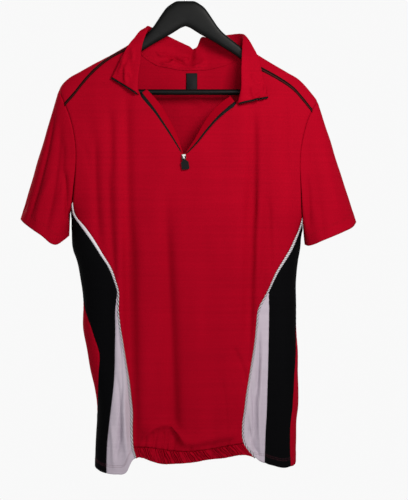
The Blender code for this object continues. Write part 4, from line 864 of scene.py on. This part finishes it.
sew_rows("back_hem_stitches", points, normals, HEM_ROWS, red_thread, "red_knit")

# Side panels
# Black knit under the arms, from the armhole to the hem. Each wraps round the side to the seam with
# the back, and hangs over the hip in long shallow folds.
SIDE_FRONT_PARTS = (0.93, 0.965, 1.0)
SIDE_BACK_PARTS = (1.0, 0.94, 0.88)
SIDE_FINE = 9
SIDE_HEM = 790.0
SIDE_HEM_TURNS = (0.1, 0.3)         # shares of the hem that swing into the seams at its two ends
WEDGE_HEM = {"right": 800.0, "left": 781.5}

WEDGE_SEAM = table("drop right_x left_x", (
    (495, -115.4, 141), (512, -117.6, 141.2), (547, -118, 141), (600, -119, 140), (636, -120, 139),
    (669, -123, 138), (702, -127, 137), (735, -131, 135), (768, -133, 134), (806, -133, 132.5),
))
HEM = table("x drop", (
    (-156, 784), (-153, 790), (-147, 795), (-133, 800), (-114, 801.5), (-102, 800), (-94, 792),
    (-88, 781), (-82, 774), (-71, 774), (-57, 779), (-43, 783), (-13, 783), (18, 780), (36, 776.5),
    (60, 774), (116, 773), (124, 778), (149, 787), (167, 791), (179, 789), (188, 783),
))


def piping_seam(side):
    """Stations down the outer edge of the piping."""
    places = front_seam(side)
    width = between(FRONT_SEAM, side + "_piping", places[:, 1])
    along = np.gradient(places, axis=0)
    along /= np.linalg.norm(along, axis=1, keepdims=True)
    moved = places + np.stack([along[:, 1], -along[:, 0]], axis=1) * OUTWARD[side] * width[:, None]
    moved[0] = armhole(side, SIDE_FRONT_PARTS[0])
    return moved


def wedge_seam(side):
    """Stations down the seam between white insert and side panel."""
    drops = seam_drops(side)[PIPING_ROWS:]
    drops = PIPING_TIP + (drops - PIPING_TIP) * (
        (WEDGE_HEM[side] - PIPING_TIP) / (drops[-1] - PIPING_TIP))
    return np.stack([between(WEDGE_SEAM, side + "_x", drops), drops], axis=1)


# Black warp-knitted polyester: matt, so dark that its folds show only by their edges.
black_knit = knit("black_warp_knit", "#060607", "#0B0B0D", 0.75, 0.0, "#8C8C96", 0.02)
black_thread = thread("black_polyester_thread", "#070708")
hem_thread = thread("faded_red_thread", "#5A2A36")

for side, sign in OUTWARD.items():
    behind_edge = back_seam(side)
    behind_edge[:, 0] = sign * 180.0 - behind_edge[:, 0]
    stations = piping_seam(side)
    stations[PIPING_ROWS:] = wedge_seam(side)
    ahead_edge = front_domain(finer(stations))
    under_front = front_domain(armhole(side, finer(SIDE_FRONT_PARTS, SIDE_FINE)))
    under_back = front_domain(armhole(side, finer(SIDE_BACK_PARTS, SIDE_FINE)))
    under_back[:, 0] = sign * 180.0 - under_back[:, 0]
    under_front[-1, 0] = sign * 90.0
    top = np.concatenate([under_front, under_back[1:]])
    top[0], top[-1] = ahead_edge[0], behind_edge[0]
    share = np.linspace(0, 1, len(top))
    bottom = (1 - share)[:, None] * ahead_edge[-1] + share[:, None] * behind_edge[-1]
    middle, half = ring(SIDE_HEM)
    x = middle + half * np.sin(np.radians(bottom[:, 0]))
    turn = (ease((share - 1 + SIDE_HEM_TURNS[1]) / SIDE_HEM_TURNS[1])
            + (1 - ease(share / SIDE_HEM_TURNS[0])))
    bottom[:, 1] += (1 - turn) * (fall_at(x, between(HEM, "drop", x, key="x")) - bottom[:, 1])
    points, normals = hung(patch(top, bottom, ahead_edge, behind_edge, ANGLE_WEIGHTS))
    points += normals * (sewn(points, "trl") + hemmed(points, HEM_DEPTH))[..., None]
    panel = add_cloth("side_cloth_" + side, points, (0.094, 0.480), black_knit)
    place_piece(panel, "black_knit", "side_panel_" + side)
    sew_rows("side_hem_stitches_" + side, points, normals, HEM_ROWS, hem_thread, "black_knit")

# White inserts
# Narrow wedges of white knit let in between front and side panel, pointed at the top. The cloth is
# thin and falls in small upright folds, and the hem is turned up with the side panel's.
INSERT_COLUMNS = 24
INSERT_HEM_TURN = 0.3      # share of the hem that swings into the front seam
INSERT_FLAT = 5.0          # width beside its seams where the cloth lies flat
INSERT_CREASES = {
    "right": table("from_x from_drop to_x to_drop bend near far depth", (
        (-111, 560, -107, 690, 2, 3.5, 3.5, -3.4), (-114, 640, -112, 750, 2, 4, 4, -4.3),
        (-104, 660, -98, 770, -2, 4, 4, 3.9), (-108, 700, -118, 775, 3, 3, 3, -3.9),
        (-124, 720, -120, 790, 1, 4, 4, 3.8), (-95, 735, -92, 765, 1, 2.5, 2.5, -2.7),
    )),
    "left": table("from_x from_drop to_x to_drop bend near far depth", (
        (124, 560, 118, 690, 2, 3.5, 3.5, -4.9), (130, 600, 127, 770, -2, 4, 4, 4.3),
        (112, 640, 116, 760, 2, 3.5, 3.5, -4.3), (108, 720, 124, 768, -3, 3, 3, -4.3),
        (121, 660, 122, 745, 2, 3, 3, 3.0), (104, 700, 108, 750, 1, 3, 3, -3.0),
    )),
}
# The same cloth undyed: a cool, slightly lilac white that takes up light from the red beside it.
white_knit = knit("white_warp_knit", "#B3A7B4", "#C4B9C4", 0.7, 0.02, "#FFFFFF", 0.04)

for side in OUTWARD:
    inner = finer(piping_seam(side)[PIPING_ROWS:])
    outer = finer(wedge_seam(side))
    share = np.linspace(0, 1, INSERT_COLUMNS + 1)[:, None]
    top = inner[0] + (outer[0] - inner[0]) * share
    bottom = inner[-1] + (outer[-1] - inner[-1]) * share
    turn = 1 - ease(share[:, 0] / INSERT_HEM_TURN)
    hem = between(HEM, "drop", bottom[:, 0], key="x")
    bottom[:, 1] += np.where(share[:, 0] < 1, (1 - turn) * (hem - bottom[:, 1]), 0.0)
    points, normals = hung(front_domain(patch(top, bottom, inner, outer)))
    depth = crease_depth(INSERT_CREASES[side], *seen_at(points))
    edges = edge_runs(points)
    depth *= ease(np.minimum(edges["r"], edges["l"]) / INSERT_FLAT)
    points += normals * (depth + sewn(points, "rl") + hemmed(points, HEM_DEPTH))[..., None]
    insert = add_cloth("insert_cloth_" + side, points, (0.060, 0.310), white_knit)
    place_piece(insert, "white_knit", "side_insert_" + side)
    sew_rows("insert_hem_stitches_" + side, points, normals, HEM_ROWS, hem_thread, "white_knit")

# Piping
# Corded piping let into the curved front seams and down beside the inserts. It is white and plain at
# the wearer's right underarm; elsewhere its cover is twisted white and grey, drawn in 5 mm turns.
PIPING_COLUMNS = 8
PIPING_CROWN, PIPING_SINK = 1.1, 0.3
PIPING_LAP = 0.05          # share of its width that the cover laps over each neighbour
TWIST_TURN = 0.005         # m; coarser than the real turns, so that they show
TWIST_LEAN = 38.0
TWIST_FADE = 0.05          # m
TWIST_DARKENS = (0.14, 0.2)         # m below the armhole, between which the dark ply deepens
TWIST_PALE = 0.75          # strength of the dark ply above that
CORD_CLEAN = {"right": 0.105, "left": -1.0}     # length of plain white cover below the armhole, m


def cord(name, clean):
    """Cover of the piping, of smooth twisted yarn: white, and from a length on barred with dark ply,
    which reads as a grey line."""
    made, tree, shader = new_surface(name, 0.5, Sheen_Weight=0.1)
    weave = add_node(tree, "ShaderNodeUVMap", {"uv_map": "cloth"}).outputs["UV"]
    leant = add_node(tree, "ShaderNodeMapping", inputs={
        "Vector": weave, "Rotation": (0, 0, math.radians(TWIST_LEAN))})
    twist = add_node(tree, "ShaderNodeTexWave", {"bands_direction": "Y"}, {
        "Vector": leant.outputs["Vector"], "Scale": repeats(TWIST_TURN), "Distortion": 0.8})
    down = add_node(tree, "ShaderNodeSeparateXYZ", inputs={"Vector": weave}).outputs["Y"]
    start = add_node(tree, "ShaderNodeMapRange", inputs={
        "Value": down, "From Min": clean, "From Max": clean + TWIST_FADE})
    lower = add_node(tree, "ShaderNodeMapRange", inputs={
        "Value": down, "From Min": TWIST_DARKENS[0], "From Max": TWIST_DARKENS[1],
        "To Min": TWIST_PALE, "To Max": 1.0})
    dark = add_node(tree, "ShaderNodeMath", {"operation": "MULTIPLY"}, {
        0: start.outputs["Result"], 1: lower.outputs["Result"]})
    ply = add_node(tree, "ShaderNodeMath", {"operation": "MULTIPLY"}, {
        0: dark.outputs["Value"], 1: twist.outputs["Fac"]})
    tint = add_node(tree, "ShaderNodeMix", {"data_type": "RGBA"}, {
        "Factor": ply.outputs["Value"], "A": linear("#D6D3D8"), "B": linear("#151418")})
    tree.links.new(tint.outputs["Result"], shader.inputs["Base Color"])
    raised = add_node(tree, "ShaderNodeBump", inputs={
        "Strength": 0.6, "Distance": 0.0003, "Height": twist.outputs["Fac"]})
    tree.links.new(raised.outputs["Normal"], shader.inputs["Normal"])
    return made


for side in OUTWARD:
    inner, outer = finer(front_seam(side)), finer(piping_seam(side))
    across = np.linspace(-PIPING_LAP, 1 + PIPING_LAP, PIPING_COLUMNS + 1)
    places = inner[:, None] + (outer - inner)[:, None] * across[None, :, None]
    points, normals = hung(front_domain(places))
    dome = np.sqrt(np.clip(1 - (2 * np.linspace(0, 1, PIPING_COLUMNS + 1) - 1) ** 2, 0, 1))
    points += normals * (PIPING_CROWN * dome - PIPING_SINK)[None, :, None]
    bead = add_cloth("piping_cord_" + side, points, (0.010, 0.460),
                     cord("reflective_cord_" + side, CORD_CLEAN[side]),
                     0.6)
    place_piece(bead, "white_knit", "piping_" + side)

# Hem band
# A casing of the red knit with elastic in it, sewn under the front. The elastic gathers it in many
# small upright crinkles of uneven size, and two needle rows run along it.
GATHERS = 46
BAND_COLUMNS = 9           # columns of cloth in each gather
BAND_ROWS = 14
BAND_END_GAP = 0.5
GATHER_DEPTH = 2.7
GATHER_FADE = 2.0
BAND_STITCHES = (7.0, 10.0)

ends = {side: front_seam(side)[-2:] for side in OUTWARD}
steps = GATHERS * BAND_COLUMNS
top_x = np.linspace(ends["right"][0, 0], ends["left"][0, 0], steps + 1)
low_x = np.linspace(ends["right"][1, 0] + BAND_END_GAP, ends["left"][1, 0] - BAND_END_GAP, steps + 1)
top = np.stack([top_x, between(BAND_LINE, "drop", top_x, key="x")], axis=1)
low = np.stack([low_x, between(HEM, "drop", low_x, key="x")], axis=1)
share = np.linspace(0, 1, BAND_ROWS + 1)[:, None]
points, normals = hung(front_domain(top + (low - top) * share[..., None]))

# Slow waves make the gathers drift along the band, lean, and change in height from one to the next.
turn = np.linspace(0, GATHERS, steps + 1)[None]
beat = turn + 0.33 * np.sin(turn * 1.13) + 0.21 * np.sin(turn * 2.71 + 1.0)
lean = 0.35 * np.sin(turn * 0.61 + 2.0) * (share - 0.5) + 0.12 * np.sin(turn * 1.9 + 7 * share)
height = 0.62 + 0.38 * np.sin(turn * 0.83 + 0.7) * np.sin(turn * 0.29 + 2.1)
fade = ease(np.minimum(turn, GATHERS - turn) / GATHER_FADE)
flatter = 1 - 0.45 * np.exp(-((share - 0.62) / 0.12) ** 2)
crinkle = GATHER_DEPTH * height * fade * flatter * np.sin(2 * math.pi * (beat + lean))
points += normals * crinkle[..., None]
band = add_cloth("hem_band_cloth", points, (0.340, 0.022), red_knit)
place_piece(band, "red_knit", "hem_band")
sew_rows("band_stitches", points, normals, BAND_STITCHES, red_thread, "red_knit")

# Sleeves
# Short set-in sleeves of the red knit, open at the cuffs. The empty cloth lies nearly flat, tucks in
# beside the body under the arm, and is turned up 20 mm at the cuff with two needle rows.
CUFF_FRONT_DEPTH, CUFF_BACK_DEPTH = 30.0, 27.0
CUFF_ROUND = 0.75
CUFF_TURN = 20.0
CUFF_STITCHES = (CUFF_TURN, CUFF_TURN - ROW_GAP)
SLEEVE_PUFF = 0.12
SLEEVE_ROWS = 60
TUCK_PARTS = (0.55, 0.85)
TUCK = 1.5
SLEEVE_FLAT = 9.0          # creases fade where the cloth turns between front and back
SLEEVE_BACK_CREASES = 0.6  # share of the front's creases that shows at the back
SLEEVE_SETTLE = 0.12       # share of its length over which the folds start below the armhole
SLEEVE_RUMPLE = (40.0, 0.8)

CUFF = table("part right_x right_drop left_x left_drop right_back left_back", (
    (0.00, -280, 371, 290, 376, 371, 376), (0.12, -273, 378, 284, 384, 373, 379),
    (0.30, -258, 389, 269, 392, 377, 384), (0.50, -242, 400, 248, 401, 383, 391),
    (0.68, -226, 413, 229, 409, 389, 398), (0.78, -218, 414, 220, 413, 393, 403),
    (0.90, -206, 406, 209, 416, 397, 410), (1.00, -198, 399, 203.5, 414, 399, 414),
))
SLEEVE_CREASES = {
    "right": table("from_x from_drop to_x to_drop bend near far depth", (
        (-222, 190, -264, 372, 4, 3.5, 3.5, -3.8), (-212, 210, -236, 392, 5, 7, 7, -3.8),
        (-204, 290, -198, 372, 1, 4.5, 4.5, -5.1), (-228, 300, -252, 384, -4, 6, 6, 2.7),
        (-206, 240, -214, 330, 3, 5, 5, -2.1), (-270, 340, -280, 366, 1, 3, 3, -2.7),
    )),
    "left": table("from_x from_drop to_x to_drop bend near far depth", (
        (214, 230, 232, 360, -5, 8, 8, -2.7), (206, 300, 209, 385, 1, 5, 5, -3.4),
        (236, 250, 264, 372, -4, 9, 9, 2.2), (222, 340, 232, 404, 3, 6, 6, -2.2),
    )),
}

for side, sign in OUTWARD.items():
    ahead = finer(FRONT_PARTS + SIDE_FRONT_PARTS, FINE)
    around = finer(SIDE_BACK_PARTS + BACK_PARTS[-2::-1], FINE)[1:]
    forward = finer(FORWARD_PARTS[::-1], FINE)[1:]
    parts = np.concatenate([ahead, around, forward])
    is_back = np.concatenate([np.zeros(len(ahead)), np.ones(len(around)), np.zeros(len(forward))]) > 0
    domain = front_domain(armhole(side, parts))
    domain[is_back] = behind(domain[is_back])
    start, start_normals = hung(domain)
    start[:, 0] += sign * TUCK * ease((parts - TUCK_PARTS[0]) / (TUCK_PARTS[1] - TUCK_PARTS[0]))
    drops = np.where(is_back, between(CUFF, side + "_back", parts, "part"),
                     between(CUFF, side + "_drop", parts, "part"))
    deep = np.where(is_back, CUFF_BACK_DEPTH, -CUFF_FRONT_DEPTH)
    end = np.stack([between(CUFF, side + "_x", parts, "part"),
                    deep * np.sin(math.pi * parts) ** CUFF_ROUND, -(HOOK_TO_HANGER + drops)], axis=1)
    v = np.linspace(0, 1, SLEEVE_ROWS + 1)[:, None, None]
    points = start + (end - start) * v
    points[..., 1] *= 1 + SLEEVE_PUFF * np.sin(math.pi * v[..., 0])
    normals = grid_normals(points)
    normals *= np.sign(np.sum(normals[0] * start_normals))
    normals[:, 0] = normals[:, -1] = normals[:, 0] + normals[:, -1]
    normals /= np.linalg.norm(normals, axis=-1, keepdims=True)
    facing = ease(np.abs(points[..., 1]) / SLEEVE_FLAT)
    x, drop = seen_at(points)
    shown = np.where(points[..., 1] < 0, 1.0, SLEEVE_BACK_CREASES)
    creases = crease_depth(SLEEVE_CREASES[side], x, drop) * shown
    settle = ease(v[..., 0] / SLEEVE_SETTLE)
    depth = (creases * facing + rumple(points, *SLEEVE_RUMPLE)) * settle + sewn(points, "t")
    points += normals * (depth + hemmed(points, CUFF_TURN))[..., None]
    points[:, -1] = points[:, 0]
    sleeve = add_cloth("sleeve_cloth_" + side, points, (0.430, 0.250), red_knit,
                       closed=True)
    place_piece(sleeve, "red_knit", "sleeve_" + side)
    sew_rows("cuff_stitches_" + side, points, normals, CUFF_STITCHES, red_thread, "red_knit")

# Collar
# A stand collar of one layer of the knit, sewn round the neck. It stands at the back, rolls outwards
# over the shoulders, and its front ends lie open as flaps, with creases where they were folded.
COLLAR_LAP = 2.2           # how far the collar reaches down past the seam, inside the neck
COLLAR_RISE, COLLAR_FALL = 1.35, 0.85
COLLAR_ROWS = 48
COLLAR_FINE = 2
COLLAR_RUMPLE = (26.0, 0.9)
COLLAR_SETTLE = 6.0        # height above the seam over which its creases start
COLLAR_SEWING = (0.4, 1.5, 0.25)    # ditch, its width, and puckers, finer than on the body

COLLAR = table("station fold_x fold_drop fold_y edge_x edge_drop edge_y", (
    (0, -79.5, 159, -37, -124, 131, -24.5), (1, -73.5, 122, -32.5, -115, 113, -22.5),
    (2, -68, 76, -20, -99, 80, -15.5), (3, -64, 57, -13, -88, 65, -11), (4, -62, 49, -9, -78, 53, -8),
    (5, -66.5, 51, 9, -68, 44.5, 1), (6, -64, 58, 14, -63, 42, 4), (7, -56, 68, 20, -52, 47, 12),
    (8, -38, 80, 28, -33, 56, 24), (9, -20, 87, 33, -14, 65, 29), (10, -1, 93, 36, 6, 74, 33),
    (10.9, 12, 96, 38, 15.5, 78, 35), (11.15, 18, 92, 34, 20, 75, 30), (11.4, 25, 87, 33, 25, 62, 30),
    (12, 36, 82, 33, 36, 59.5, 30), (13, 54, 79, 30, 53, 57.5, 27), (14, 72, 75, 24, 72, 56, 20),
    (15, 85, 70, 18, 84, 55, 14), (16, 93, 67, 11, 93, 55, 7), (17, 96.5, 64, 3, 100, 57, 0),
    (18, 96, 68, -6, 106, 64, -6), (19, 93, 82, -15, 114, 78, -14),
    (20, 90, 107, -27, 124.5, 101, -20.5), (21, 90.5, 142, -34, 132, 137, -26),
    (22, 88.5, 175, -39, 139.5, 164, -29),
))
COLLAR_CREASES = table("from_x from_drop to_x to_drop bend near far depth", (
    (3, 33, 28, 44, 3, 2.5, 3.5, -4.7), (10, 47, 42, 51, 2, 2.5, 3, -3.5),
    (18, 25, 36, 40, -3, 3.5, 2.5, -3.5), (44, 32, 62, 46, 3, 4, 3, -2.5),
    (426, 47, 450, 38, 2, 2.5, 3.5, -4.7), (408, 52, 441, 50, -2, 3, 2.5, -3.5),
    (420, 29, 438, 40, 3, 3, 3, -3.4), (396, 30, 412, 46, 3, 3, 4, -2.5),
    (168, 7, 194, 21, 6, 3, 5, -5.5), (182, 19, 214, 13, -5, 4, 3, 5.0),
    (160, 20, 182, 27, 3, 3, 3, -3.5), (224, 7, 248, 20, 4, 4, 3, -3.5), (200, 24, 222, 27, 2, 3, 3, -3.0),
))


def neck_line():
    """Points round the whole neck seam, from the right end of the zip to the left."""
    around = behind(neck_back)
    runs = (front_domain(neck["right"][::-1]), around[1:], front_domain(neck["left"])[1:])
    return np.concatenate([hung(run)[0] for run in runs])


seam = finer(neck_line(), COLLAR_FINE)
station = np.arange(len(seam)) / (FINE * COLLAR_FINE)
fold, edge = (np.stack([
    between(COLLAR, name + "_x", station, "station"), between(COLLAR, name + "_y", station, "station"),
    -(HOOK_TO_HANGER + between(COLLAR, name + "_drop", station, "station"))], axis=1)
    for name in ("fold", "edge"))
rise = (fold - seam) / np.linalg.norm(fold - seam, axis=1, keepdims=True)
base = seam - rise * COLLAR_LAP
t = np.linspace(0, 1, COLLAR_ROWS + 1)[:, None, None]
points = ((1 - t) ** 3 * base + 3 * t * (1 - t) ** 2 * (base + COLLAR_RISE * (fold - base))
          + 3 * t ** 2 * (1 - t) * (edge + COLLAR_FALL * (fold - edge)) + t ** 3 * edge)
normals = grid_normals(points)
runs = edge_runs(points)
depth = crease_depth(COLLAR_CREASES, runs["r"], runs["t"]) + rumple(points, *COLLAR_RUMPLE)
depth = depth * ease(runs["t"] / COLLAR_SETTLE) + sewn(points, "tbrl", *COLLAR_SEWING)
points += normals * depth[..., None]
collar_points, collar_normals = points, normals
collar = add_cloth("collar_cloth", points, (0.460, 0.065), red_knit)
place_piece(collar, "red_knit", "collar")
rows = [seam_line(points, sense * normals, "t", distance, 0.6) for sense in (1, -1)
        for distance in (2.0, 5.0)]
place_piece(add_stitches("neck_stitches", rows, red_thread), "red_knit")

# Shoulder tapes
# Narrow dark brown woven tape, laid over the seam where the back comes forward to meet the front. It
# runs from the collar to the armhole and is sewn down with two rows of black thread.
TAPE_WIDTH = 7.0
TAPE_LIFT = 0.9
TAPE_ROUND = 0.25          # how far the tape's edges bed into the cloth
TAPE_COLUMNS = 6
TAPE_STEP = 0.01           # small fall that finds how far the cloth runs beside the seam
TAPE_STITCH_INSET = 1.3
TAPE_STITCH = (2.6, 1.9, 0.5)       # pitch, length and thickness
TAPE_RIB = 0.0012          # m; usual ribs, about 0.5 mm apart, are too fine to show


def woven(name, colour, roughness, specular, direction, pitch, distortion=0.0, strength=0.5,
          depth=0.0001):
    """Woven tape or ribbon, whose ribs stand as low relief in one direction of the cloth."""
    made, tree, shader = new_surface(name, roughness, Specular_IOR_Level=specular,
                                     Base_Color=linear(colour))
    weave = add_node(tree, "ShaderNodeUVMap", {"uv_map": "cloth"}).outputs["UV"]
    ribs = add_node(tree, "ShaderNodeTexWave", {"bands_direction": direction}, {
        "Vector": weave, "Scale": repeats(pitch), "Distortion": distortion})
    raised = add_node(tree, "ShaderNodeBump", inputs={
        "Strength": strength, "Distance": depth, "Height": ribs.outputs["Fac"]})
    tree.links.new(raised.outputs["Normal"], shader.inputs["Normal"])
    return made, tree, shader, weave


# Ribbed polyester tape, dyed in the yarn: dull, nearly black at both edges and brown along the middle.
brown_tape, tree, shader, weave = woven("brown_woven_tape", "#42100F", 0.65, 0.06, "Y", TAPE_RIB)
across = add_node(tree, "ShaderNodeSeparateXYZ", inputs={"Vector": weave}).outputs["X"]
bands = add_node(tree, "ShaderNodeMath", {"operation": "PINGPONG"}, {0: across, 1: TAPE_WIDTH * MM / 2})
edge_dark = add_node(tree, "ShaderNodeMapRange", inputs={
    "Value": bands.outputs["Value"], "From Min": 0.0019, "From Max": 0.0026})
tint = add_node(tree, "ShaderNodeMix", {"data_type": "RGBA"}, {
    "Factor": edge_dark.outputs["Result"], "A": linear("#060303"), "B": linear("#42100F")})
tree.links.new(tint.outputs["Result"], shader.inputs["Base Color"])

for side in OUTWARD:
    seam = behind(front_domain(finer(shoulder[side], 2)) * (1.0, -1.0))
    step = (0.0, TAPE_STEP)
    stretch = np.linalg.norm(cloth(seam + step) - cloth(seam - step), axis=-1) / (2 * TAPE_STEP)
    across = np.linspace(-0.5, 0.5, TAPE_COLUMNS + 1) * TAPE_WIDTH
    falls = seam[:, 1][:, None] + across / stretch[:, None]
    angles = np.repeat(seam[:, :1], len(across), axis=1)
    points, normals = hung(np.stack([angles, falls], axis=-1))
    points += normals * (TAPE_LIFT - TAPE_ROUND * np.abs(across / TAPE_WIDTH * 2) ** 3)[None, :, None]
    tape = add_cloth("shoulder_tape_cloth_" + side, points, (0.010, 0.145), brown_tape,
                     0.5)
    place_piece(tape, "brown_tape", "shoulder_tape_" + side)
    rows = [seam_line(points, normals, edge, TAPE_STITCH_INSET, 0.4) for edge in "rl"]
    place_piece(add_stitches("tape_stitches_" + side, rows, black_thread, *TAPE_STITCH), "brown_tape")

# Neck label
# A plain black satin ribbon, 19 mm wide, sewn in under the back neck seam by its folded top end.
LABEL_SIZE = (19.0, 29.0)
LABEL_X, LABEL_DROP = 1.0, 121.0
SATIN_FLOAT = 0.0009       # m; usual floats, about 0.3 mm long, are too fine to show

# Woven polyester satin: smooth and black, with a low sheen across its floating threads.
satin = woven("black_satin_ribbon", "#0D0D0F", 0.45, 0.09, "Y", SATIN_FLOAT, 0.5, 0.4, 0.00006)[0]

xs = np.linspace(LABEL_X, LABEL_X + LABEL_SIZE[0], 13)
drops = np.linspace(LABEL_DROP, LABEL_DROP + LABEL_SIZE[1], 21)
points, normals = hung(behind(front_domain(np.stack(np.meshgrid(xs, drops), axis=-1))))
down = (drops - LABEL_DROP)[:, None]
curl = 1.35 + 1.1 * ease(down / LABEL_SIZE[1]) + 0.5 * np.cos((xs - 10.5) / 5.0)[None] * ease(down / 20.0)
points -= normals * curl[..., None]
label = add_cloth("neck_label_ribbon", points, (0.019, 0.029), satin,
                  0.4)
place_piece(label, "black_tape", "neck_label")

# Zip
# Black polyester tapes with a nylon coil along their inner edges, open down to the slider. Above the
# neck each tape runs on along the folded front end of the collar.
TAPE_UNDER = 6.0           # width of tape sewn under the front's edge
TAPE_END_WIDTH = 2.6
TAPE_END_FROM = 14         # row of the collar's grid at which its tape starts
TAPE_BACKING = 0.8         # how far the tape lies from the middle of the cloth that it backs
ZIP_TAPE_COLUMNS = 6
TWILL = 0.0011             # m; usual lines, about 0.4 mm apart, are too fine to show
COIL_PITCH = 1.5           # a usual coil has 1.2 mm from turn to turn; coarser, so that it shows
COIL_WIRE = (1.15, 1.7)    # thickness along the zip and width of one turn
COIL_LIFT = 0.2
ZIP_STITCH_BACK = 0.4      # distance of the stitches from the front's edge, as a share of the tape

# Woven polyester tape in a herringbone: dull black, with fine slanting lines.
zip_tape = woven("black_herringbone_tape", "#0C0D0D", 0.65, 0.08, "DIAGONAL", TWILL)[0]
# Coiled nylon monofilament: smooth and black, with a small soft highlight on each turn.
coil = new_surface("black_nylon_coil", 0.4, Base_Color=linear("#080909"), Specular_IOR_Level=0.2)[0]


def zip_lines(side):
    """Places along the front's zip edge, the tape's inner edge and the facing's inner edge."""
    edge = opening[side]
    at = np.linspace(0, 1, len(edge))
    rows = {"row": np.linspace(0, 1, len(ZIP["tape"])), **ZIP}
    along = np.gradient(edge, axis=0)
    along /= np.linalg.norm(along, axis=1, keepdims=True)
    inner = np.stack([along[:, 1], -along[:, 0]], axis=1) * -OUTWARD[side]
    tape = between(rows, "tape", at, "row")[:, None]
    facing = between(rows, side + "_facing", at, "row")[:, None]
    return edge, edge + inner * tape, edge + inner * (tape + facing)


for side in OUTWARD:
    edge, inner, _ = zip_lines(side)
    share = np.linspace(0, 1, ZIP_TAPE_COLUMNS)[None, :, None]
    width = np.linalg.norm(inner - edge, axis=1)[:, None, None]
    share = share * (1 + TAPE_UNDER / width) - TAPE_UNDER / width
    points, normals = hung(front_domain(edge[:, None] + (inner - edge)[:, None] * share))
    points -= normals * TAPE_BACKING
    tape = add_cloth("zip_tape_cloth_" + side, points, (0.0125, 0.127), zip_tape,
                     0.6)
    place_piece(tape, "black_tape", "zip_tape_" + side)
    coil_line = points[:, -1] + normals[:, -1] * COIL_LIFT
    grid = collar_points if side == "right" else collar_points[:, ::-1]
    lift = collar_normals[:, 0] if side == "right" else collar_normals[:, -1]
    away = grid[:, 0] - grid[:, 2]
    away /= np.linalg.norm(away, axis=1, keepdims=True)
    reach = np.linspace(-TAPE_UNDER, TAPE_END_WIDTH, ZIP_TAPE_COLUMNS)[None, :, None]
    points = (grid[:, :1] + away[:, None] * reach + TAPE_BACKING * lift[:, None])[TAPE_END_FROM:]
    tape_end = add_cloth("zip_tape_end_cloth_" + side, points, (0.010, 0.053), zip_tape,
                         0.6)
    place_piece(tape_end, "black_tape", "zip_tape_end_" + side)
    runs = [coil_line, points[:, -1]]
    place_piece(add_stitches("zip_coil_" + side, runs, coil, COIL_PITCH, *COIL_WIRE), "black_tape")
    top_edge = hung(front_domain(edge - (inner - edge) * ZIP_STITCH_BACK))
    line = top_edge[0] + top_edge[1] * (WALL / 2)
    place_piece(add_stitches("zip_stitches_" + side, [line], red_thread), "red_knit")

# Zip facings
# Strips of the red knit that back the zip tapes inside the opening. They are folded lengthwise, sewn
# in with the tapes, and turn back into the garment where the zip is open.
FACING_TURN = 0.55
FACING_SET_BACK = 0.6
FACING_COLUMNS = 13

# The same red knit, seen on its duller wrong side.
facing_knit = knit("red_facing_knit", "#8A0114", "#980218", 0.72, 0.04, "#C80014", 0.01)

for side in OUTWARD:
    _, inner, within = zip_lines(side)
    share = np.linspace(0, 1, FACING_COLUMNS)[None, :, None]
    points, normals = hung(front_domain(inner[:, None] + (within - inner)[:, None] * share))
    reach = np.linalg.norm(within - inner, axis=1)[:, None]
    points[..., 1] += FACING_TURN * reach * share[..., 0] + FACING_SET_BACK
    strip = add_cloth("zip_facing_cloth_" + side, points, (0.015, 0.131), facing_knit,
                      0.8)
    place_piece(strip, "red_facing", "zip_facing_" + side)

# Zip slider and pull tab
# A die-cast zinc slider on the two coils, plated with nickel. Its bridge holds a moulded black tab,
# which swings on a bar across the bridge.
EDGE_ROUND = 0.00035       # m

# Nickel plate over zinc: a warm grey metal, worn in small patches, so that its highlights break up.
nickel, tree, shader = new_surface("nickel_plated_slider", 0.26, 1.0, Base_Color=linear("#86847F"))
place = add_node(tree, "ShaderNodeTexCoord").outputs["Object"]
wear = add_node(tree, "ShaderNodeTexNoise", inputs={"Vector": place, "Scale": 600.0, "Detail": 3.0})
shine = add_node(tree, "ShaderNodeMapRange", inputs={
    "Value": wear.outputs["Fac"], "To Min": 0.18, "To Max": 0.4})
tree.links.new(shine.outputs["Result"], shader.inputs["Roughness"])

# Soft moulded plastic with a fine even texture: black and dull, with a blurred highlight.
moulded, tree, shader = new_surface("moulded_black_plastic", 0.55, Base_Color=linear("#070708"),
                                    Specular_IOR_Level=0.12)
place = add_node(tree, "ShaderNodeTexCoord").outputs["Object"]
texture = add_node(tree, "ShaderNodeTexNoise", inputs={"Vector": place, "Scale": 1500.0})
raised = add_node(tree, "ShaderNodeBump", inputs={
    "Strength": 0.3, "Distance": 0.00005, "Height": texture.outputs["Fac"]})
tree.links.new(raised.outputs["Normal"], shader.inputs["Normal"])

for name, surface in (("zip_slider", nickel), ("zip_pull", moulded)):
    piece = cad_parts[name]
    piece.data.materials.clear()
    piece.data.materials.append(surface)
    rounded = piece.modifiers.new("rounded", "BEVEL")
    rounded.width = EDGE_ROUND
    rounded.segments = 2
    rounded.limit_method = "ANGLE"
    rounded.angle_limit = math.radians(40)
